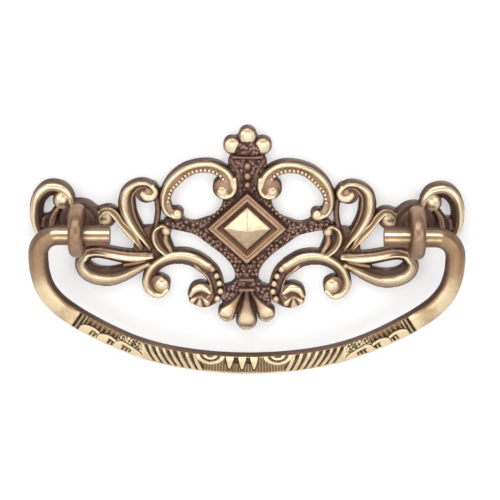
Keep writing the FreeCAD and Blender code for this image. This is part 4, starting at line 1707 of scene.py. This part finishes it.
@dataclass(frozen=True)
class Engraving:
    """The chasing on the bail's front, mirrored about a line left of its middle.

    Places are measured sideways from that line, in mm, and upwards from -1 at
    the lower edge to 1 at the upper one; rows are pairs of the latter. The
    tongues stand at their own places along the bail. A share is how much of
    its pitch a cut takes.
    """

    middle: float = -0.5
    face_rows: Point2 = (-0.96, 0.93)
    grooves: Point2 = (36.8, 38.75)
    groove_pitch: float = 0.93
    hatch: Point2 = (29.2, 36.8)
    hatch_rows: Point2 = (-0.35, 0.95)
    hatch_pitch: float = 1.05
    hatch_share: float = 0.58
    rough: Point2 = (23.6, 29.3)
    rough_rows: Point2 = (-0.5, 0.95)
    # Inner end, outer end and peak of each petal
    petals: tuple[Point3, ...] = ((31.7, 37.0, 34.5), (28.1, 33.1, 30.8), (22.9, 29.3, 27.7))
    petal_foot: float = -0.44
    petal_rise: float = 0.62
    petal_buff: float = 1.12
    tick_lean: float = 0.35
    tick_pitch: float = 0.8
    gadroons: Point2 = (9.7, 23.1)
    gadroon_reach: Point2 = (9.1, 25.7)
    gadroon_rows: Point2 = (-0.8, 0.9)
    gadroon_pitch: float = 1.68
    reed_rows: Point2 = (-0.78, 0.9)
    reed_pitch: float = 0.66
    fan_place: float = 8.0
    fan_rings: tuple[Point2, Point2] = ((1.4, 2.12), (0.0, 0.85))
    fan_rim: Point2 = (2.85, 3.2)
    fan_buff: float = 1.05
    tongues: tuple[float, ...] = (-3.86, -0.95, 1.84)
    tongue_buff: float = 1.1
    tongue_edge: float = 0.09
    gap: Point2 = (-5.1, 3.0)
    gap_rows: Point2 = (0.1, 0.86)
    # Rows past which the section darkens towards its upper and lower edges as painted shade, and how soft that is
    edge_shade_rows: Point2 = (-0.9, 0.9)
    edge_shade_soft: float = 0.05

    @staticmethod
    def _bars(place: Grid, pitch: float, share: Union[float, Grid], soft: float = 0.16) -> Grid:
        """Repeated cuts that take a share of their pitch."""
        beat = np.abs((place / pitch) % 1.0 - 0.5) * 2.0
        return np.clip((beat - (1.0 - share)) / soft + 0.5, 0.0, 1.0)

    def carved(self, x: Grid, v: Grid, front: Grid) -> tuple[Grid, Grid]:
        """Carves the whole pattern.

        Args:
            x: place along the bail.
            v: height on the bar.
            front: 1 on the front, 0 on the other sides.

        Returns:
            Depth from 0 to 1, and share of the buffing, darkened along the upper and lower edges as painted shade.
        """
        x = x + 0.0 * v
        a = np.abs(x - self.middle)
        work = Chasing(np.zeros_like(a), np.ones_like(a))
        work.deepen(self._bars(a, self.groove_pitch, 0.5) * within(a, *self.grooves))
        work.dull(0.35 * within(a, *self.grooves, 0.6))
        self._hatching(work, a, v)
        for petal in self.petals:
            self._petal(work, a, v, *petal)
        self._gadroons(work, a, v)
        self._reeds(work, a, v)
        self._fan(work, a, v)
        self._tongues(work, x, v)
        on_front = within(v, *self.face_rows, 0.06) * np.clip(front * 3.0 - 1.6, 0.0, 1.0)
        # painted shade along the upper and lower edges of the section
        lower, upper = self.edge_shade_rows
        edge_shade = 1.0 - 0.6 * rising(v, upper, self.edge_shade_soft) - 0.72 * falling(v, lower, self.edge_shade_soft)
        return work.cut * on_front, (1.0 + (work.kept - 1.0) * on_front) * edge_shade

    def _hatching(self, work: Chasing, a: Grid, v: Grid) -> None:
        """Cuts the hatched field above the petals, and the rough one beside it.

        Args:
            work: the cuts so far.
            a: place from the middle line.
            v: height on the bar.
        """
        shown = within(a, *self.hatch) * within(v, *self.hatch_rows, 0.08)
        lines = self._bars(a + 0.25 * v, self.hatch_pitch, self.hatch_share) * (1.0 - 0.55 * rising(v, 0.4, 0.3))
        work.deepen(shown * (0.15 + 0.8 * lines))
        work.dull(0.62 * shown)
        shown = within(a, *self.rough) * within(v, *self.rough_rows, 0.08)
        strokes = np.sin(a * 5.1 + 1.7 * np.sin(v * 6.0)) * np.sin(v * 8.5 + 1.4 * np.sin(a * 3.3))
        work.deepen(shown * np.clip(0.55 + 1.3 * strokes, 0.05, 1.0))

    def _petal(self, work: Chasing, a: Grid, v: Grid, inner: float, outer: float, peak: float) -> None:
        """Cuts the rim of a petal, with a shallow groove above it darkened as the petal's painted shadow, and the ticks
        in it.

        Args:
            work: the cuts so far.
            a: place from the middle line.
            v: height on the bar.
            inner: the petal's inner end.
            outer: its outer end.
            peak: where it is highest.
        """
        share = np.where(a > peak, (a - peak) / (outer - peak), (peak - a) / (peak - inner))
        rim = self.petal_foot + self.petal_rise * np.sqrt(np.clip(1.0 - share**2, 0.0, 1.0))
        rim = rim - 0.3 * np.clip(peak - a, 0.0, 9.0) / 5.0
        # shallow groove just above the rim, its darkness a painted shadow of the petal
        work.deepen(within(v, rim - 0.02, rim + 0.16, 0.04) * (share < 0.97))
        work.leave(np.clip((rim - v) / 0.08 + 0.5, 0.0, 1.0) * (share < 1.0), self.petal_buff)
        slant = a + self.tick_lean * v
        spread = within(slant, peak - 2.3, peak + 0.15)
        work.deepen(spread * within(v, rim - 0.5, rim - 0.3, 0.05))
        ticks = self._bars(slant, self.tick_pitch, 0.6) * spread
        work.deepen(ticks * within(v, -0.8, rim - 0.3, 0.06))

    def _gadroons(self, work: Chasing, a: Grid, v: Grid) -> None:
        """Cuts the slits between the slanted ridges.

        Args:
            work: the cuts so far.
            a: place from the middle line.
            v: height on the bar.
        """
        slope = 1.1 + 0.8 * rising(a, self.gadroons[0], 8.0)
        lean = a - slope * v + 0.35 * v**2
        width = 0.36 + 0.18 * np.clip(v + 0.2, 0.0, 1.2)
        slits = self._bars(lean + 0.08, self.gadroon_pitch, width, 0.14) * within(lean, *self.gadroons, 0.1)
        slits = slits * within(a, *self.gadroon_reach, 0.1)
        work.deepen(slits * within(v, *self.gadroon_rows, 0.05))
        work.dull(0.14 * within(a, *self.gadroons, 0.5))

    def _reeds(self, work: Chasing, a: Grid, v: Grid) -> None:
        """Cuts the upright reeds in the middle."""
        shown = within(a, -1.0, 9.9 + v) * within(v, *self.reed_rows, 0.06)
        work.deepen(shown * (0.06 + 0.6 * self._bars(a, self.reed_pitch, 0.5, 0.3)))
        work.dull(0.36 * shown)

    def _fan(self, work: Chasing, a: Grid, v: Grid) -> None:
        """Cuts the arcs of the fan that hangs from the upper edge.

        Args:
            work: the cuts so far.
            a: place from the middle line.
            v: height on the bar.
        """
        away = np.hypot((a - self.fan_place) * 0.84, (v - 1.0) * 2.8)
        arcs = 0.8 * within(away, *self.fan_rim, 0.12)
        for ring in self.fan_rings:
            arcs = np.maximum(arcs, within(away, *ring, 0.12))
        around = np.maximum(work.cut, arcs * within(away, 0.0, 3.0, 0.1))
        work.cut = np.where(away < 2.95, arcs, around)
        work.kept = np.where(away < 2.9, self.fan_buff, work.kept)

    def _tongues(self, work: Chasing, x: Grid, v: Grid) -> None:
        """Leaves the tongues standing, and cuts their outlines and the gaps between them.

        Args:
            work: the cuts so far.
            x: place along the bail.
            v: height on the bar.
        """
        drop = np.clip(0.95 - v, 0.0, 2.0)
        inward = [1.2 - np.abs(x - place) * 1.12 - 0.5 * drop - 0.14 * drop**2 for place in self.tongues]
        for tongue in inward:
            outline = np.clip(tongue / self.tongue_edge + 2.8, 0.0, 1.0) * within(v, -0.54, 0.97, 0.05)
            work.deepen(0.95 * outline)
            work.leave(rising(tongue, 0.0, self.tongue_edge) * within(v, -0.4, 0.97, 0.05), self.tongue_buff)
        standing = np.max([rising(tongue, 0.0, self.tongue_edge) for tongue in inward], axis=0)
        work.deepen(within(x, *self.gap) * within(v, *self.gap_rows, 0.1) * (1.0 - standing))


@dataclass(frozen=True)
class SoftBox:
    """A square lamp: its place, width and height in mm, and its power in watts."""

    name: str
    place: Point3
    wide: float
    tall: float
    power: float


@dataclass
class Studio:
    """Backdrop, floor, lights and the camera."""

    aim: Point3 = (0.7, 0.0, -8.06)
    distance: float = 390.0
    elevation: float = 21.0
    roll: float = 0.36
    lens: float = 121.35
    sensor: float = 36.0
    board_gap: float = 0.15
    board_glow: float = 0.35
    board_near: float = 2.0
    board_paint: Colour = (0.975, 0.965, 0.97)
    reach: float = 600.0
    floor_z: float = -120.0
    floor_front: float = -900.0
    white: Colour = (1.0, 1.0, 1.0)
    sky: Colour = (0.93, 0.96, 1.0)
    sky_power: float = 0.38
    lamp_tint: Colour = (1.0, 0.98, 0.955)
    lamp_aim: Point3 = (0.0, 0.0, -5.0)
    lamps: tuple[SoftBox, ...] = (
        SoftBox("above", (-40.0, -330.0, 400.0), 460.0, 160.0, 1.1),
        SoftBox("front_left", (-360.0, -480.0, 130.0), 300.0, 320.0, 0.85),
        SoftBox("front_right", (360.0, -480.0, 130.0), 300.0, 320.0, 0.75),
        SoftBox("front", (0.0, -640.0, -40.0), 300.0, 200.0, 0.65),
        SoftBox("behind", (120.0, 420.0, 160.0), 300.0, 300.0, 0.5),
    )

    def build(self) -> None:
        """Builds the whole studio."""
        self._world()
        self._board()
        self._lights()
        self._camera()
        bpy.context.scene.view_settings.view_transform = "Standard"

    def _world(self) -> None:
        """A white surround that is dimmer as a light than as a background."""
        world = bpy.data.worlds.new("surround")
        bpy.context.scene.world = world
        book = ShaderBook(world)
        seen = book.node("ShaderNodeBackground", inputs={"Color": (*self.white, 1.0), "Strength": 1.0})
        light = book.node("ShaderNodeBackground", inputs={"Color": (*self.sky, 1.0), "Strength": self.sky_power})
        camera = Value(book, book.node("ShaderNodeLightPath").outputs["Is Camera Ray"])
        book.finish(book.mixed(camera, light, seen), "ShaderNodeOutputWorld")

    def _board(self) -> None:
        """Makes the board that the pull lies against and the floor, both white.

        They glow a little for the camera, and are open from behind and close to the plate's back.
        """
        book = ShaderBook(bpy.data.materials.new("white_board"))
        paper = book.node("ShaderNodeBsdfDiffuse", inputs={"Color": (*self.board_paint, 1.0)})
        glow = book.node("ShaderNodeEmission", inputs={"Color": (*self.white, 1.0), "Strength": 1.0})
        light_path = book.node("ShaderNodeLightPath").outputs
        camera, length = (Value(book, light_path[name]) for name in ("Is Camera Ray", "Ray Length"))
        behind = Value(book, book.node("ShaderNodeNewGeometry").outputs["Backfacing"])
        through = book.maths("MAXIMUM", behind, book.maths("LESS_THAN", length, self.board_near * MM))
        lit_paper = book.mixed(camera * self.board_glow, paper, glow)
        finish = book.finish(book.mixed(through, lit_paper, book.node("ShaderNodeBsdfTransparent")))
        gap, reach, low, front = self.board_gap, self.reach, self.floor_z, self.floor_front
        sheets = {
            "board": [(-reach, gap, low), (reach, gap, low), (reach, gap, reach), (-reach, gap, reach)],
            "floor": [(-reach, front, low), (reach, front, low), (reach, reach, low), (-reach, reach, low)],
        }
        for name, corners in sheets.items():
            plane = self._plane(name, corners)
            plane.data.materials.append(finish)

    @staticmethod
    def _plane(name: str, corners: Sequence[Point3]) -> bpy.types.Object:
        """A flat sheet through four corners in mm."""
        mesh = bpy.data.meshes.new(name)
        mesh.from_pydata([tuple(c * MM for c in corner) for corner in corners], [], [(0, 1, 2, 3)])
        return piece_of(name, mesh)

    def _lights(self) -> None:
        """Hangs the soft boxes: above, to the left and right, low in front, and behind the board."""
        for box in self.lamps:
            lamp = bpy.data.lights.new(box.name, "AREA")
            lamp.shape = "RECTANGLE"
            lamp.size, lamp.size_y = box.wide * MM, box.tall * MM
            lamp.energy = box.power
            lamp.color = self.lamp_tint
            holder = piece_of(box.name, lamp)
            holder.location = Vector(box.place) * MM
            aim = Vector(self.lamp_aim) * MM - holder.location
            holder.rotation_euler = aim.to_track_quat("-Z", "Y").to_euler()

    def _camera(self) -> None:
        """The camera of the photograph."""
        lens = bpy.data.cameras.new("camera")
        lens.lens = self.lens
        lens.sensor_width = self.sensor
        lens.clip_start = 0.01
        lens.clip_end = 10.0
        holder = bpy.data.objects.new("camera", lens)
        tilt, roll = math.radians(self.elevation), math.radians(self.roll)
        out = Vector((0.0, -math.cos(tilt), math.sin(tilt)))
        right = Vector((1.0, 0.0, 0.0))
        up = Vector((0.0, math.sin(tilt), math.cos(tilt)))
        across = right * math.cos(roll) + up * math.sin(roll)
        over = up * math.cos(roll) - right * math.sin(roll)
        place = (Vector(self.aim) + out * self.distance) * MM
        columns = [vector.to_4d() for vector in (across, over, out, place)]
        for column in columns[:3]:
            column.w = 0.0
        holder.matrix_world = Matrix(columns).transposed()
        bpy.context.scene.collection.objects.link(holder)
        bpy.context.scene.camera = holder


def main() -> None:
    """Builds every piece in order."""
    logging.basicConfig(level=logging.INFO, format="%(name)s: %(message)s")
    plate_brass = AgedBrass("plate_brass")
    post_brass = AgedBrass(
        "post_brass", light=(0.46, 0.31, 0.21), body=(0.24, 0.145, 0.092), brown=(0.12, 0.07, 0.05), smooth=0.33
    )
    bail_brass = AgedBrass(
        "bail_brass", light=(0.74, 0.605, 0.39), body=(0.36, 0.24, 0.135), dark=(0.022, 0.010, 0.006)
    )
    nut_brass = AgedBrass("nut_brass")
    Studio().build()
    Backplate(plate_brass).build()
    Bail(bail_brass).build()
    for side, name in zip(SIDES, ("left", "right")):
        EyePost(post_brass).build(side, f"eye_post_{name}")
        HexNut(nut_brass).build(side, f"nut_{name}")


if __name__ == "__main__":
    main()
